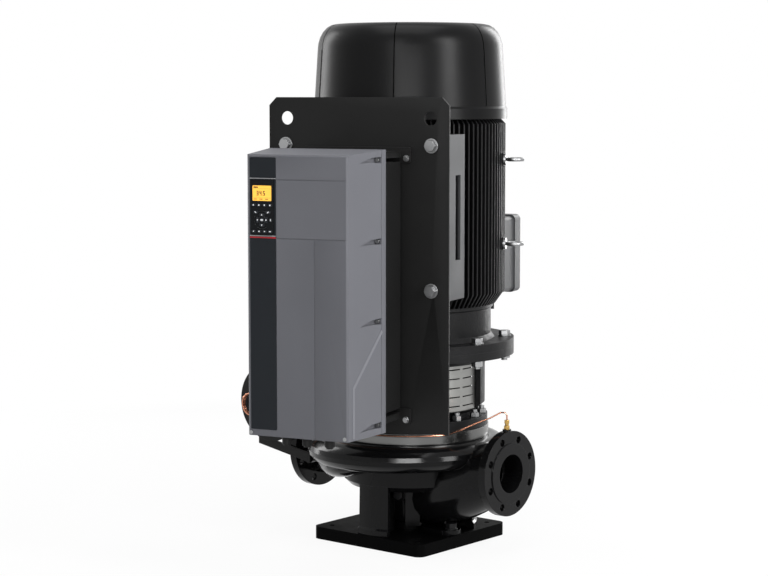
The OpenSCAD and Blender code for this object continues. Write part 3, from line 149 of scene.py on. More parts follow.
class Signal:
    """A socket of a material, so that shader maths reads as Python expressions."""

    def __init__(self, tree, socket):
        self.tree = tree
        self.socket = socket

    def node(self, kind, settings=None, values=None, output=0):
        """Adds a node of that kind, sets it up, fills its sockets and returns one of its outputs."""
        node = self.tree.nodes.new(kind)
        for name, value in (settings or {}).items():
            setattr(node, name, value)
        for key, value in (values or {}).items():
            if isinstance(value, Signal):
                self.tree.links.new(value.socket, node.inputs[key])
            else:
                node.inputs[key].default_value = value
        return Signal(self.tree, node.outputs[output])

    def math(self, operation, first, second):
        return self.node("ShaderNodeMath", {"operation": operation}, {0: first, 1: second})

    def __add__(self, other):
        return self.math("ADD", self, other)

    def __radd__(self, other):
        return self.math("ADD", other, self)

    def __sub__(self, other):
        return self.math("SUBTRACT", self, other)

    def __rsub__(self, other):
        return self.math("SUBTRACT", other, self)

    def __mul__(self, other):
        return self.math("MULTIPLY", self, other)

    def __rmul__(self, other):
        return self.math("MULTIPLY", other, self)

    def step(self, low, high):
        """0 below low, 1 above high, smooth between them."""
        settings = {"interpolation_type": "SMOOTHSTEP"}
        return self.node("ShaderNodeMapRange", settings, {"Value": self, "From Min": low, "From Max": high})

    def noise(self, scale, detail=2.0, roughness=0.5):
        """Noise over this place, from 0 to 1."""
        values = {"Vector": self, "Scale": scale, "Detail": detail, "Roughness": roughness}
        return self.node("ShaderNodeTexNoise", None, values, "Fac")

    def stretched(self, x, y, z):
        """This place with its axes scaled, for brushed and turned grain."""
        return self.node("ShaderNodeVectorMath", {"operation": "MULTIPLY"}, {0: self, 1: (x, y, z)})

    def blend(self, first, second):
        """From the first colour to the second, by this factor."""
        settings = {"data_type": "RGBA"}
        values = {0: self, 6: as_rgba(first), 7: as_rgba(second)}
        return self.node("ShaderNodeMix", settings, values, 2)


def as_rgba(colour):
    """A colour for a colour socket, or the signal itself."""
    if isinstance(colour, Signal):
        return colour
    return (*tuple(colour)[:3], 1.0)


def scaled(colour, factor):
    """A colour made lighter or darker."""
    return tuple(min(1.0, channel * factor) for channel in tuple(colour)[:3])


class Finish:
    """A material with its shader and the place on the object that its patterns follow."""

    def __init__(self, name, metallic=0.0, specular=0.5):
        self.material = bpy.data.materials.new(name)
        self.material.use_nodes = True
        tree = self.material.node_tree
        self.shader = next(node for node in tree.nodes if node.type == "BSDF_PRINCIPLED")
        self.shader.inputs["Metallic"].default_value = metallic
        self.shader.inputs["Specular IOR Level"].default_value = specular
        self.place = Signal(tree, tree.nodes.new("ShaderNodeTexCoord").outputs["Object"])

    def feed(self, socket, value):
        """Sets a shader socket to a value or links a signal to it."""
        if isinstance(value, Signal):
            value.tree.links.new(value.socket, self.shader.inputs[socket])
        else:
            self.shader.inputs[socket].default_value = value

    def edges(self, radius):
        """1 on edges and 0 elsewhere, for wear and a painted highlight along them, with the rounded normal
        that shows them.
        """
        soft = self.place.node("ShaderNodeBevel", {"samples": 4}, {"Radius": radius})
        true = self.place.node("ShaderNodeNewGeometry", None, None, "True Normal")
        settings = {"operation": "DOT_PRODUCT"}
        turn = self.place.node("ShaderNodeVectorMath", settings, {0: soft, 1: true}, "Value")
        return (1 - turn).step(0.02, 0.25), soft

    def painted_shade_mask(self, reach):
        """1 on open faces, falling to 0 in corners, where the finishes paint shade."""
        return self.place.node("ShaderNodeAmbientOcclusion", {"samples": 6}, {"Distance": reach}, "AO")

    def relief(self, height, depth, normal=None):
        """Raises the surface by a height signal, to that depth in metres."""
        values = {"Height": height, "Distance": depth, "Strength": 1.0}
        if normal is not None:
            values["Normal"] = normal
        self.feed("Normal", self.place.node("ShaderNodeBump", None, values))


# Finishes


def cast_coat(name, colour, rough, grain, specular, sand_scale=420):
    """Paint over cast iron: soft ripple, fine sand grain, and edges painted lighter for wear and for the
    highlights they catch.
    """
    finish = Finish(name, specular=specular)
    ripple = finish.place.noise(38, 3)
    sand = finish.place.noise(sand_scale, 3, 0.6)
    patch = finish.place.noise(9, 2)
    edge_wear_and_sheen, soft = finish.edges(sizes().edge_round)
    base = (0.7 * patch + 0.3 * ripple).blend(scaled(colour, 0.75), scaled(colour, 1.35))
    # Edges lighter: wear with a painted highlight along them
    finish.feed("Base Color", (0.45 * edge_wear_and_sheen).blend(base, scaled(colour, 5)))
    finish.feed("Roughness", rough + 0.16 * (ripple - 0.5) + 0.06 * sand)
    finish.relief(0.7 * ripple + 0.3 * sand, grain, soft)
    return finish.material


def gloss_casting():
    """Glossy dipped coat of the pump casing."""
    return cast_coat("black_gloss", colours().gloss_black, rough=0.11, grain=0.2 * MM, specular=0.14)


def satin_casting():
    """Satin paint of the motor, its flange and the stool."""
    black = colours().satin_black
    return cast_coat("black_paint", black, rough=0.4, grain=1.6 * MM, specular=0.13, sand_scale=260)


def dull_casting():
    """Thick black paint of the base plate."""
    black = scaled(colours().gloss_black, 0.3)
    return cast_coat("black_dull", black, rough=0.5, grain=0.3 * MM, specular=0.02)


def painted_bolt():
    """Bolts and plugs painted over with the casing."""
    black = scaled(colours().gloss_black, 2)
    return cast_coat("painted_bolt", black, rough=0.3, grain=0.1 * MM, specular=0.2)


def bare_iron():
    """Machined grey iron of the coupling."""
    return cast_coat("cast_grey", (0.2, 0.2, 0.2), rough=0.4, grain=0.2 * MM, specular=0.5)


def sheet_paint(name, colour, rough, mottle, grain, scale, specular):
    """Paint or powder coat on sheet steel."""
    finish = Finish(name, specular=specular)
    cloud = finish.place.noise(5.5, 3)
    pebble = finish.place.noise(scale, 2, 0.55)
    edge_wear_and_sheen, soft = finish.edges(0.6 * sizes().edge_round)
    base = cloud.blend(scaled(colour, 1 - mottle), scaled(colour, 1 + mottle))
    # Edges lighter: wear with a painted highlight along them
    finish.feed("Base Color", (0.35 * edge_wear_and_sheen).blend(base, scaled(colour, 2.2)))
    finish.feed("Roughness", rough + 0.1 * (cloud - 0.5) + 0.12 * (pebble - 0.5))
    finish.relief(pebble, grain, soft)
    return finish.material


def cowl_paint():
    """Satin black of the fan's cowl."""
    black = scaled(colours().satin_black, 0.5)
    return sheet_paint("black_cover", black, 0.32, mottle=0.2, grain=0.03 * MM, scale=260, specular=0.1)


def plate_coat():
    """Black textured powder coat of the mounting plate and the heat sink."""
    black = colours().plate_black
    return sheet_paint("black_texture", black, 0.5, mottle=0.3, grain=0.18 * MM, scale=330, specular=0.14)


def box_paint():
    """Grey paint of the brackets and the terminal box."""
    grey = colours().box_grey
    return sheet_paint("grey_paint", grey, 0.45, mottle=0.08, grain=0.05 * MM, scale=500, specular=0.25)


def moulded(name, colour, rough, grain=0.04 * MM, specular=0.4):
    """Moulded plastic with spark-eroded grain."""
    finish = Finish(name, specular=specular)
    grains = finish.place.noise(900, 2, 0.6)
    cloud = finish.place.noise(7, 2)
    edge_wear_and_sheen, soft = finish.edges(0.7 * sizes().edge_round)
    base = cloud.blend(scaled(colour, 0.95), scaled(colour, 1.05))
    # Edges lighter: wear with a painted highlight along them
    finish.feed("Base Color", (0.2 * edge_wear_and_sheen).blend(base, scaled(colour, 1.5)))
    finish.feed("Roughness", rough + 0.1 * (grains - 0.5) + 0.04 * (cloud - 0.5))
    finish.relief(grains, grain, soft)
    return finish.material


def drive_moulding():
    """Grey cover of the drive."""
    return moulded("drive_grey", colours().drive_grey, 0.5, grain=0.03 * MM, specular=0.15)


def strip_moulding():
    """Dark control strip and keypad."""
    return moulded("strip_plastic", colours().strip_black, 0.38, grain=0.02 * MM, specular=0.1)


def keypad_moulding():
    """Near-black face of the keypad."""
    return moulded("keypad_plastic", scaled(colours().strip_black, 0.3), 0.35, grain=0.02 * MM, specular=0.1)


def crease_highlight():
    """Grey of the cover made lighter on its creases: a painted highlight for the light they catch more than
    its sides.
    """
    return moulded("crease_highlight_grey", scaled(colours().drive_grey, 1.35), 0.4, grain=0.02 * MM, specular=0.25)


def black_moulding():
    """Black plastic of glands and the fan."""
    return moulded("black_plastic", (0.012, 0.012, 0.012), 0.5, grain=0.03 * MM, specular=0.15)


def key_rubber():
    """Dark soft keys."""
    return moulded("key_rubber", (0.02, 0.022, 0.026), 0.6, grain=0.03 * MM, specular=0.1)


def metal(name, colour, rough, grain_axis=(1, 1, 1), grain=0.03 * MM, stain=0.12):
    """Bare or plated metal, with grain drawn out along chosen axes and painted shade in its corners."""
    finish = Finish(name, metallic=1.0)
    streak = finish.place.stretched(*grain_axis).noise(240, 3, 0.6)
    cloud = finish.place.noise(28, 3)
    edge_wear_and_sheen, soft = finish.edges(0.5 * sizes().edge_round)
    base = (0.6 * cloud + 0.4 * streak).blend(scaled(colour, 1 - stain), scaled(colour, 1 + stain))
    # Painted shade: darker in corners and crevices, where less light reaches
    corner_shaded = finish.painted_shade_mask(6 * MM).step(0.3, 0.95).blend(scaled(colour, 0.12), base)
    # Edges lighter: wear with a painted highlight along them
    finish.feed("Base Color", (0.6 * edge_wear_and_sheen).blend(corner_shaded, scaled(colour, 1.6)))
    finish.feed("Roughness", rough + 0.14 * (cloud - 0.5) + 0.1 * (streak - 0.5))
    finish.relief(streak, grain, soft)
    return finish.material


def zinc_plate():
    """Zinc-plated fasteners."""
    return metal("zinc", colours().zinc, 0.34, stain=0.18)


def turned_steel():
    """Turned faces, with rings of the cutting tool."""
    rings = (0.02, 0.02, 3.0)
    return metal("turned_steel", colours().bare_steel, 0.24, rings, grain=0.01 * MM, stain=0.06)


def bright_sheet():
    """Rolled bright sheet of the coupling guards."""
    rolled = (0.3, 0.3, 2.5)
    return metal("bright_sheet", (0.3, 0.3, 0.29), 0.42, rolled, grain=0.02 * MM, stain=0.2)


def drawn_copper():
    """Copper of the impulse pipe."""
    return metal("copper", colours().copper, 0.25)


def turned_brass():
    """Brass of the fittings."""
    return metal("brass", colours().brass, 0.22)


def cast_bronze():
    """Bronze of the impeller."""
    return metal("bronze", (0.42, 0.27, 0.11), 0.5, grain=0.15 * MM)


def carbon_face():
    """Carbon of the seal's seat."""
    return moulded("seal_carbon", (0.03, 0.03, 0.03), 0.4)


def winding_pack():
    """Laminations and varnished windings: thin rings stacked along the shaft."""
    finish = Finish("winding")
    layers = finish.place.stretched(0.01, 0.01, 6.0).noise(240, 1)
    finish.feed("Base Color", layers.blend((0.16, 0.05, 0.02), (0.3, 0.13, 0.06)))
    finish.feed("Roughness", 0.4 + 0.2 * layers)
    finish.relief(layers, 0.2 * MM)
    return finish.material


def plain_mark(name, colour, rough=0.5, specular=0.3):
    """Print or coloured trim, with a little wear."""
    finish = Finish(name, specular=specular)
    speckle = finish.place.noise(1200, 2)
    finish.feed("Base Color", speckle.blend(scaled(colour, 0.9), scaled(colour, 1.08)))
    finish.feed("Roughness", rough + 0.1 * (speckle - 0.5))
    finish.relief(speckle, 0.01 * MM)
    return finish.material


def seam_shadow():
    """Near-black of the gap in a seam."""
    return plain_mark("seam_shadow", (0.0012, 0.0012, 0.0012), rough=0.8, specular=0.0)


def strip_bar_grey():
    """Grey of the bars on the control strip."""
    return plain_mark("bar_grey", (0.33, 0.33, 0.34))


def accent_paint():
    """Red of the line under the keypad."""
    return plain_mark("accent_red", colours().accent_red)


def white_print():
    """White print of the keys' marks."""
    return plain_mark("white_print", (0.75, 0.77, 0.8))


def dim_print():
    """Grey print of the keypad's rings."""
    return plain_mark("dim_print", (0.12, 0.125, 0.13))


def dark_print():
    """Dark segments of the display."""
    return plain_mark("dark_print", (0.05, 0.02, 0.005))


# How strongly the display is lit
DISPLAY_GLOW = 0.55


def lit_display():
    """Amber display with a soft uneven glow and a faint dot grid."""
    finish = Finish("display", specular=0.5)
    colour = colours().display_amber
    glow = finish.place.noise(30, 1)
    dots = finish.place.noise(2600, 1)
    shade = (0.7 * glow + 0.3 * dots).blend(scaled(colour, 0.85), (1.0, 0.55, 0.09))
    finish.feed("Base Color", shade)
    finish.feed("Emission Color", shade)
    finish.feed("Emission Strength", DISPLAY_GLOW)
    finish.feed("Roughness", 0.25 + 0.1 * dots)
    return finish.material


# The materials made so far, by the function that makes them
MADE = {}


def finish_of(maker):
    """The material that a finish function makes, made once."""
    if maker not in MADE:
        MADE[maker] = maker()
    return MADE[maker]


# Meshes and pieces

# Corners this near to each other are joined, in CAD nodes and in the scene's own pieces
WELD_REACH = 0.01 * MM
JOIN_REACH = 0.002 * MM
# Faces that meet at less than this are joined to one flat face before their edges are rounded
FLAT_ANGLE = math.radians(0.4)
# Faces that meet at less than this are shaded smooth
SMOOTH_ANGLE = math.radians(21)
# Edges where faces meet at more than this are rounded
BEVEL_ANGLE = math.radians(40)
# How deep trim and print reach into the face that they lie on, and the corners of the trim
TRIM_SINK = 1 * MM
TRIM_ROUND = 0.4 * MM
PRINT_SINK = 0.3 * MM


def smoothing_group():
    """Node group that joins split corners and shades faces smooth except at sharp edges."""
    group = bpy.data.node_groups.get("smooth_faces")
    if group:
        return group
    group = bpy.data.node_groups.new("smooth_faces", "GeometryNodeTree")
    group.interface.new_socket("Geometry", in_out="INPUT", socket_type="NodeSocketGeometry")
    group.interface.new_socket("Geometry", in_out="OUTPUT", socket_type="NodeSocketGeometry")
    start = Signal(group, group.nodes.new("NodeGroupInput").outputs[0])
    plain = start.node("GeometryNodeRemoveAttribute", None, {"Geometry": start, "Name": "custom_normal"})
    joined = start.node("GeometryNodeMergeByDistance", None, {"Geometry": plain, "Distance": WELD_REACH})
    values = {"Geometry": joined, "Shade Smooth": True}
    smooth = start.node("GeometryNodeSetShadeSmooth", {"domain": "FACE"}, values)
    angle = start.node("GeometryNodeInputMeshEdgeAngle")
    sharp = start.node("FunctionNodeCompare", {"operation": "GREATER_THAN"}, {0: angle, 1: SMOOTH_ANGLE})
    values = {"Geometry": smooth, "Selection": sharp, "Shade Smooth": False}
    edged = start.node("GeometryNodeSetShadeSmooth", {"domain": "EDGE"}, values)
    group.links.new(edged.socket, group.nodes.new("NodeGroupOutput").inputs[0])
    return group


def smooth_shading(piece):
    """Smooth faces and sharp edges on a piece."""
    piece.modifiers.new("smooth", "NODES").node_group = smoothing_group()


def round_edges(node, width):
    """Rounds the sharp edges of a CAD node as it shows, by modifiers alone."""
    weld = node.modifiers.new("weld", "WELD")
    weld.merge_threshold = WELD_REACH
    flat = node.modifiers.new("flat", "DECIMATE")
    flat.decimate_type = "DISSOLVE"
    flat.angle_limit = FLAT_ANGLE
    bevel = node.modifiers.new("bevel", "BEVEL")
    bevel.width = width
    bevel.segments = 2
    bevel.limit_method = "ANGLE"
    bevel.angle_limit = BEVEL_ANGLE
    bevel.use_clamp_overlap = True


def dress(maker, *nodes, rounded=0.0):
    """Gives CAD nodes a finish, rounds their edges to that radius and shades them smooth."""
    for name in nodes:
        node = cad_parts[name]
        node.data.materials.clear()
        node.data.materials.append(finish_of(maker))
        if rounded > 0:
            round_edges(node, rounded)
        smooth_shading(node)


def turned_box(name):
    """Lowest and highest corner of a CAD node in the axes of the turned head."""
    back = TURNED.inverted()
    points = [back @ vertex.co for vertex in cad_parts[name].data.vertices]
    low = Vector(min(point[axis] for point in points) for axis in range(3))
    high = Vector(max(point[axis] for point in points) for axis in range(3))
    return low, high


def new_piece(name, mesh, maker, body="pump", placed=TURNED):
    """Joins a mesh's shared corners, points its faces outwards and links it as a piece of a body."""
    bmesh.ops.remove_doubles(mesh, verts=mesh.verts, dist=JOIN_REACH)
    bmesh.ops.recalc_face_normals(mesh, faces=mesh.faces)
    data = bpy.data.meshes.new(name)
    mesh.to_mesh(data)
    mesh.free()
    piece = bpy.data.objects.new(name, data)
    bpy.context.scene.collection.objects.link(piece)
    piece.matrix_world = placed
    data.materials.append(finish_of(maker))
    smooth_shading(piece)
    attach(piece, body)


def add_slab(mesh, outline, back, front):
    """Adds a plate to a mesh: an outline in x and z, from y = -back to y = -front, facing -Y."""
    rear = [mesh.verts.new((x, -back, z)) for x, z in outline]
    face = [mesh.verts.new((x, -front, z)) for x, z in outline]
    mesh.faces.new(face)
    mesh.faces.new(list(reversed(rear)))
    for index in range(len(outline)):
        after = (index + 1) % len(outline)
        mesh.faces.new((face[index], rear[index], rear[after], face[after]))


def close_band(mesh, rings):
    """Joins rings of four corners into a closed band."""
    for first, second in zip(rings, rings[1:]):
        for index in range(4):
            after = (index + 1) % 4
            mesh.faces.new((first[index], first[after], second[after], second[index]))
    mesh.faces.new(rings[0])
    mesh.faces.new(list(reversed(rings[-1])))


def placed_at(x, z, turn, points):
    """An outline round the origin, turned by an angle and moved to (x, z)."""
    c, s = math.cos(turn), math.sin(turn)
    return [(x + px * c - pz * s, z + px * s + pz * c) for px, pz in points]


def oblong(x, z, width, height, radius=0.0, turn=0.0):
    """Outline of a rounded rectangle round (x, z), turned by an angle."""
    corners = ((1, 1, 0), (-1, 1, 90), (-1, -1, 180), (1, -1, 270))
    steps = (0, 22.5, 45, 67.5, 90) if radius > 0 else (0,)
    points = []
    for side_x, side_z, start in corners:
        for step in steps:
            angle = math.radians(start + step)
            px = side_x * (width / 2 - radius) + radius * math.cos(angle)
            pz = side_z * (height / 2 - radius) + radius * math.sin(angle)
            points.append((px, pz))
    return placed_at(x, z, turn, points)


def disc(x, z, radius, count=24):
    """Outline of a circle round (x, z)."""
    steps = [2 * math.pi * index / count for index in range(count)]
    return [(x + radius * math.cos(step), z + radius * math.sin(step)) for step in steps]


def arrow(x, z, size, turn):
    """Outline of a triangle that points up before it is turned."""
    return placed_at(x, z, turn, [(-size / 2, -size / 3), (size / 2, -size / 3), (0, size * 0.6)])


# Arcs are made of flats of about this many degrees
ARC_STEP = 6


def add_arc(mesh, centre, radius, width, start, end, back, front):
    """Adds a flat arc to a mesh, between two angles in degrees."""
    count = max(2, round(abs(end - start) / ARC_STEP))
    angles = [math.radians(start + (end - start) * index / count) for index in range(count + 1)]
    inner, outer = (
        [(centre[0] + reach * math.cos(angle), centre[1] + reach * math.sin(angle)) for angle in angles]
        for reach in (radius, radius + width)
    )
    for index in range(count):
        outline = [inner[index], outer[index], outer[index + 1], inner[index + 1]]
        add_slab(mesh, outline, back, front)


# Seams of the cowl: how many, the place of the first one round the motor, and their foot above the rim
SEAM_COUNT = 6
SEAM_START = math.radians(-60.5)
SEAM_FOOT = 34 * MM
# How many flats a seam has below its bend
SEAM_FLATS = 6
# Depth of the point that the seams bend round, under the cowl's top, and how many degrees they bend
SHOULDER_DROP = 90 * MM
SEAM_BEND = 24


def add_seam(mesh, surface, angle, foot, bend_z):
    """Adds one seam to a mesh: a band laid on the cowl, straight up its side and over its shoulder."""
    out = Vector((math.cos(angle), math.sin(angle), 0))
    along = Vector((-out.y, out.x, 0))
    places = [(foot + (bend_z - foot) * step / SEAM_FLATS, 0.0) for step in range(SEAM_FLATS)]
    places += [(bend_z, math.radians(rise)) for rise in range(SEAM_BEND + 1)]
    rings = []
    for z, rise in places:
        way = out * math.cos(rise) + Vector((0, 0, math.sin(rise)))
        point, normal = surface.ray_cast(Vector((0, 0, z)) + way, -way)[:2]
        half = along * sizes().seam_w / 2
        sunk, proud = point - normal * sizes().trim_t, point + normal * 2 * sizes().mark_t
        corners = (sunk - half, proud - half, proud + half, sunk + half)
        rings.append([mesh.verts.new(corner) for corner in corners])
    close_band(mesh, rings)


# Depth of the cover's slanted side and its distance from the middle, at its rear and front, in metres
SIDE_REAR = (0.496, 0.154)
SIDE_FRONT = (0.645, 0.133)
# Places of the crease on that side, as depth and height
CREASE_PATH = ((0.506, 0.615), (0.627, 0.491), (0.627, 0.372))


def side_reach(depth):
    """Distance of the cover's side from the drive's middle at a depth."""
    part = (depth - SIDE_REAR[0]) / (SIDE_FRONT[0] - SIDE_REAR[0])
    return SIDE_REAR[1] + part * (SIDE_FRONT[1] - SIDE_REAR[1])


def add_side_band(mesh, side, path, width, sunk, proud):
    """Adds a flat band to a mesh, along a path on one slanted side of the drive."""
    rings = []
    for index, (depth, z) in enumerate(path):
        before = path[max(index - 1, 0)]
        after = path[min(index + 1, len(path) - 1)]
        run = Vector((after[0] - before[0], after[1] - before[1])).normalized()
        ring = []
        for way, lift in ((-1, sunk), (-1, proud), (1, proud), (1, sunk)):
            place = depth - way * run.y * width / 2
            height = z + way * run.x * width / 2
            ring.append(mesh.verts.new((side * (side_reach(place) + lift), -place, height)))
        rings.append(ring)
    close_band(mesh, rings)


# Digits as seven bars: top, upper left, upper right, middle, lower left, lower right, bottom
DIGIT_BARS = {"3": "1011011", "4": "0111010", "5": "1101011"}
# A digit's width, the width of its bars, and how much of its place each bar fills
DIGIT_WIDTH = 0.5
DIGIT_BAR = 0.18
DIGIT_FILL = 0.92


def add_digit(mesh, digit, x, z, height, back, front):
    """Adds one seven-bar digit, with its lower left corner at (x, z)."""
    width = DIGIT_WIDTH * height
    bar = DIGIT_BAR * height
    places = [
        (width / 2, height - bar / 2, width, bar),
        (bar / 2, 0.75 * height, bar, height / 2),
        (width - bar / 2, 0.75 * height, bar, height / 2),
        (width / 2, height / 2, width, bar),
        (bar / 2, 0.25 * height, bar, height / 2),
        (width - bar / 2, 0.25 * height, bar, height / 2),
        (width / 2, bar / 2, width, bar),
    ]
    for shown, (px, pz, w, h) in zip(DIGIT_BARS[digit], places):
        if shown == "1":
            add_slab(mesh, oblong(x + px, z + pz, DIGIT_FILL * w, DIGIT_FILL * h), back, front)


# Operators


class PUMP_OT_castings(bpy.types.Operator):
    """Finish the castings: casing, head, stool, motor and base"""

    bl_idname = "pump.castings"
    bl_label = "Castings"

    def execute(self, context):
        dress(gloss_casting, "pump_housing")
        dress(dull_casting, "base_plate", rounded=sizes().edge_round)
        dress(satin_casting, "motor_flange", rounded=sizes().edge_round)
        dress(satin_casting, "motor_stool", "motor_frame", "rear_shield")
        dress(turned_steel, "pump_head", "wear_ring")
        return {"FINISHED"}


class PUMP_OT_sheet_metal(bpy.types.Operator):
    """Finish the sheet metal: cowl, plate, brackets, guards and terminal box"""

    bl_idname = "pump.sheet_metal"
    bl_label = "Sheet metal"

    def execute(self, context):
        fold = 0.8 * sizes().edge_round
        dress(cowl_paint, "fan_cover")
        dress(plate_coat, "mount_plate", rounded=fold)
        dress(box_paint, "side_brackets", "terminal_box", "terminal_box_lid", rounded=fold)
        dress(bright_sheet, "coupling_guards")
        self.add_cowl_seams()
        return {"FINISHED"}

    def add_cowl_seams(self):
        """Dark seams from the cowl's rim over its shoulder"""
        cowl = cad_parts["fan_cover"].data
        surface = BVHTree.FromPolygons([v.co for v in cowl.vertices], [p.vertices for p in cowl.polygons])
        low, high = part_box("fan_cover")
        seams = bmesh.new()
        for index in range(SEAM_COUNT):
            angle = SEAM_START + 2 * math.pi * index / SEAM_COUNT
            add_seam(seams, surface, angle, low[2] + SEAM_FOOT, high[2] - SHOULDER_DROP)
        new_piece("cowl_seams", seams, seam_shadow, placed=Matrix())


class PUMP_OT_fasteners(bpy.types.Operator):
    """Finish the bolts, studs, screws and glands"""

    bl_idname = "pump.fasteners"
    bl_label = "Fasteners"

    def execute(self, context):
        dress(zinc_plate, "head_studs", "flange_bolts", "bracket_bolts")
        dress(zinc_plate, "small_screws", "drive_screws", "eye_bolts")
        dress(painted_bolt, "base_bolts", "plugs")
        dress(black_moulding, "cable_glands")
        return {"FINISHED"}


class PUMP_OT_drive(bpy.types.Operator):
    """Finish the drive: cover, heat sink and control strip with its accent line"""

    bl_idname = "pump.drive"
    bl_label = "Drive"

    def execute(self, context):
        dress(drive_moulding, "drive_cover", rounded=sizes().edge_round)
        dress(plate_coat, "drive_heatsink")
        dress(strip_moulding, "control_strip")
        dress(keypad_moulding, "keypad")
        self.add_strip_trim()
        self.add_side_creases()
        return {"FINISHED"}

    def add_strip_trim(self):
        """Grey bars over and under the keypad, and the red line"""
        low, high = turned_box("control_strip")
        pad_low, pad_high = turned_box("keypad")
        middle = (low.x + high.x) / 2
        width = high.x - low.x
        face = -low.y
        bars = bmesh.new()
        for z in (pad_high.z + 0.8 * sizes().bar_h, pad_low.z - 0.8 * sizes().bar_h):
            outline = oblong(middle, z, width, sizes().bar_h, TRIM_ROUND)
            add_slab(bars, outline, face - TRIM_SINK, face + sizes().trim_t)
        new_piece("strip_bars", bars, strip_bar_grey)
        line = bmesh.new()
        line_z = pad_low.z - 1.8 * sizes().bar_h - sizes().accent_h / 2
        outline = oblong(middle, line_z, width, sizes().accent_h, TRIM_ROUND)
        add_slab(line, outline, face - TRIM_SINK, face + sizes().trim_t)
        new_piece("strip_accent", line, accent_paint)

    def add_side_creases(self):
        """Raised crease on each side of the cover"""
        creases = bmesh.new()
        for side in (-1, 1):
            add_side_band(creases, side, CREASE_PATH, sizes().crease_w, -TRIM_SINK, 2 * sizes().trim_t)
        # The creases are finished with a painted highlight
        new_piece("side_creases", creases, crease_highlight)


# Which mark each key has: its form and its turn in degrees
KEY_MARKS = {
    "key_status": ("dot", 0), "key_menu": ("dot", 0), "key_main": ("dot", 0), "key_log": ("dot", 0),
    "key_back": ("bar", -35), "key_cancel": ("bar", 35),
    "key_up": ("arrow", 0), "key_left": ("arrow", 90), "key_ok": ("oval", 0), "key_right": ("arrow", -90),
    "key_down": ("arrow", 180), "key_info": ("bar", 90),
    "key_hand": ("arrow", -90), "key_off": ("dot", 0), "key_auto": ("arrow", -90), "key_reset": ("bar", 0),
}
# Radius on the keys' edges
KEY_ROUND = 0.5 * MM
# Rings round the arrow keys: width, and for each its radius and from where to where it runs in degrees
RING_W = 0.6 * MM
RINGS = ((9.2 * MM, ((0, 360),)), (20.5 * MM, ((55, 125), (155, 215), (235, 305))))


class PUMP_OT_keypad(bpy.types.Operator):
    """Finish the keys and print their marks and the rings round them"""

    bl_idname = "pump.keypad"
    bl_label = "Keypad"

    def execute(self, context):
        for name in KEY_MARKS:
            dress(key_rubber, name, rounded=KEY_ROUND)
            self.add_mark(name, *KEY_MARKS[name])
        self.add_rings()
        return {"FINISHED"}

    def add_mark(self, name, form, turn):
        """One printed mark on a key's face"""
        low, high = turned_box(name)
        x = (low.x + high.x) / 2
        z = (low.z + high.z) / 2
        face = -low.y
        angle = math.radians(turn)
        outlines = {
            "dot": disc(x, z, 1.9 * MM),
            "bar": oblong(x, z, 5.6 * MM, 2.2 * MM, 0.9 * MM, angle),
            "arrow": arrow(x, z, 4.2 * MM, angle),
            "oval": oblong(x, z, 7.4 * MM, 4 * MM, 1.9 * MM),
        }
        mesh = bmesh.new()
        add_slab(mesh, outlines[form], face - PRINT_SINK, face + sizes().mark_t)
        new_piece(name + "_mark", mesh, white_print, name)

    def add_rings(self):
        """Rings printed round the arrow keys, broken where the outer keys stand"""
        low, high = turned_box("key_ok")
        pad_low = turned_box("keypad")[0]
        centre = ((low.x + high.x) / 2, (low.z + high.z) / 2)
        face = -pad_low.y
        depths = (face - PRINT_SINK, face + sizes().mark_t)
        mesh = bmesh.new()
        for radius, spans in RINGS:
            for start, end in spans:
                add_arc(mesh, centre, radius, RING_W, start, end, *depths)
        new_piece("keypad_rings", mesh, dim_print)


class PUMP_OT_display(bpy.types.Operator):
    """Light the display and draw a plain reading on it"""

    bl_idname = "pump.display"
    bl_label = "Display"

    def execute(self, context):
        dress(lit_display, "display")
        low, high = turned_box("display")
        face = -low.y
        depths = (face - PRINT_SINK, face + sizes().mark_t)
        mesh = bmesh.new()
        left = low.x + 2.5 * MM
        right = high.x - 2.5 * MM
        top = high.z - 3 * MM
        middle = (left + right) / 2
        # Header field and two rules
        add_slab(mesh, oblong(left + 6 * MM, top - 1 * MM, 12 * MM, 3 * MM, 0.4 * MM), *depths)
        for z in (top - 4.5 * MM, low.z + 7 * MM):
            add_slab(mesh, oblong(middle, z, right - left, 0.35 * MM), *depths)
        # Large reading with a point
        height = sizes().digit_h
        x = middle - 1.3 * height
        z = (low.z + high.z) / 2 - height / 2
        for digit in "345":
            add_digit(mesh, digit, x, z, height, *depths)
            x += 0.72 * height
            if digit == "4":
                point = oblong(x - 0.1 * height, z + 0.08 * height, 1.2 * MM, 1.2 * MM, 0.3 * MM)
                add_slab(mesh, point, *depths)
                x += 0.12 * height
        # Small readings along the foot
        for step in (5, 20, 35):
            field = oblong(left + step * MM, low.z + 4 * MM, 8 * MM, 1.6 * MM, 0.3 * MM)
            add_slab(mesh, field, *depths)
        new_piece("display_reading", mesh, dark_print)
        return {"FINISHED"}


class PUMP_OT_pipework(bpy.types.Operator):
    """Finish the impulse pipe, its fittings and the pressure sensor"""

    bl_idname = "pump.pipework"
    bl_label = "Impulse pipe and sensor"

    def execute(self, context):
        dress(drawn_copper, "impulse_pipe")
        dress(turned_brass, "brass_fittings")
        dress(plate_coat, "sensor_plate", "sensor_arm", rounded=sizes().edge_round)
        dress(turned_steel, "sensor_body")
        return {"FINISHED"}


class PUMP_OT_rotor(bpy.types.Operator):
    """Finish the turning parts, the bearings and the seal"""

    bl_idname = "pump.rotor"
    bl_label = "Rotor, bearings and seal"

    def execute(self, context):
        dress(turned_steel, "motor_shaft", "rotor_core", "pump_shaft", "seal_rotor", "bearings")
        dress(winding_pack, "stator_core")
        dress(black_moulding, "cooling_fan")
        dress(bare_iron, "coupling")
        dress(cast_bronze, "impeller")
        dress(carbon_face, "seal_seat")
        return {"FINISHED"}


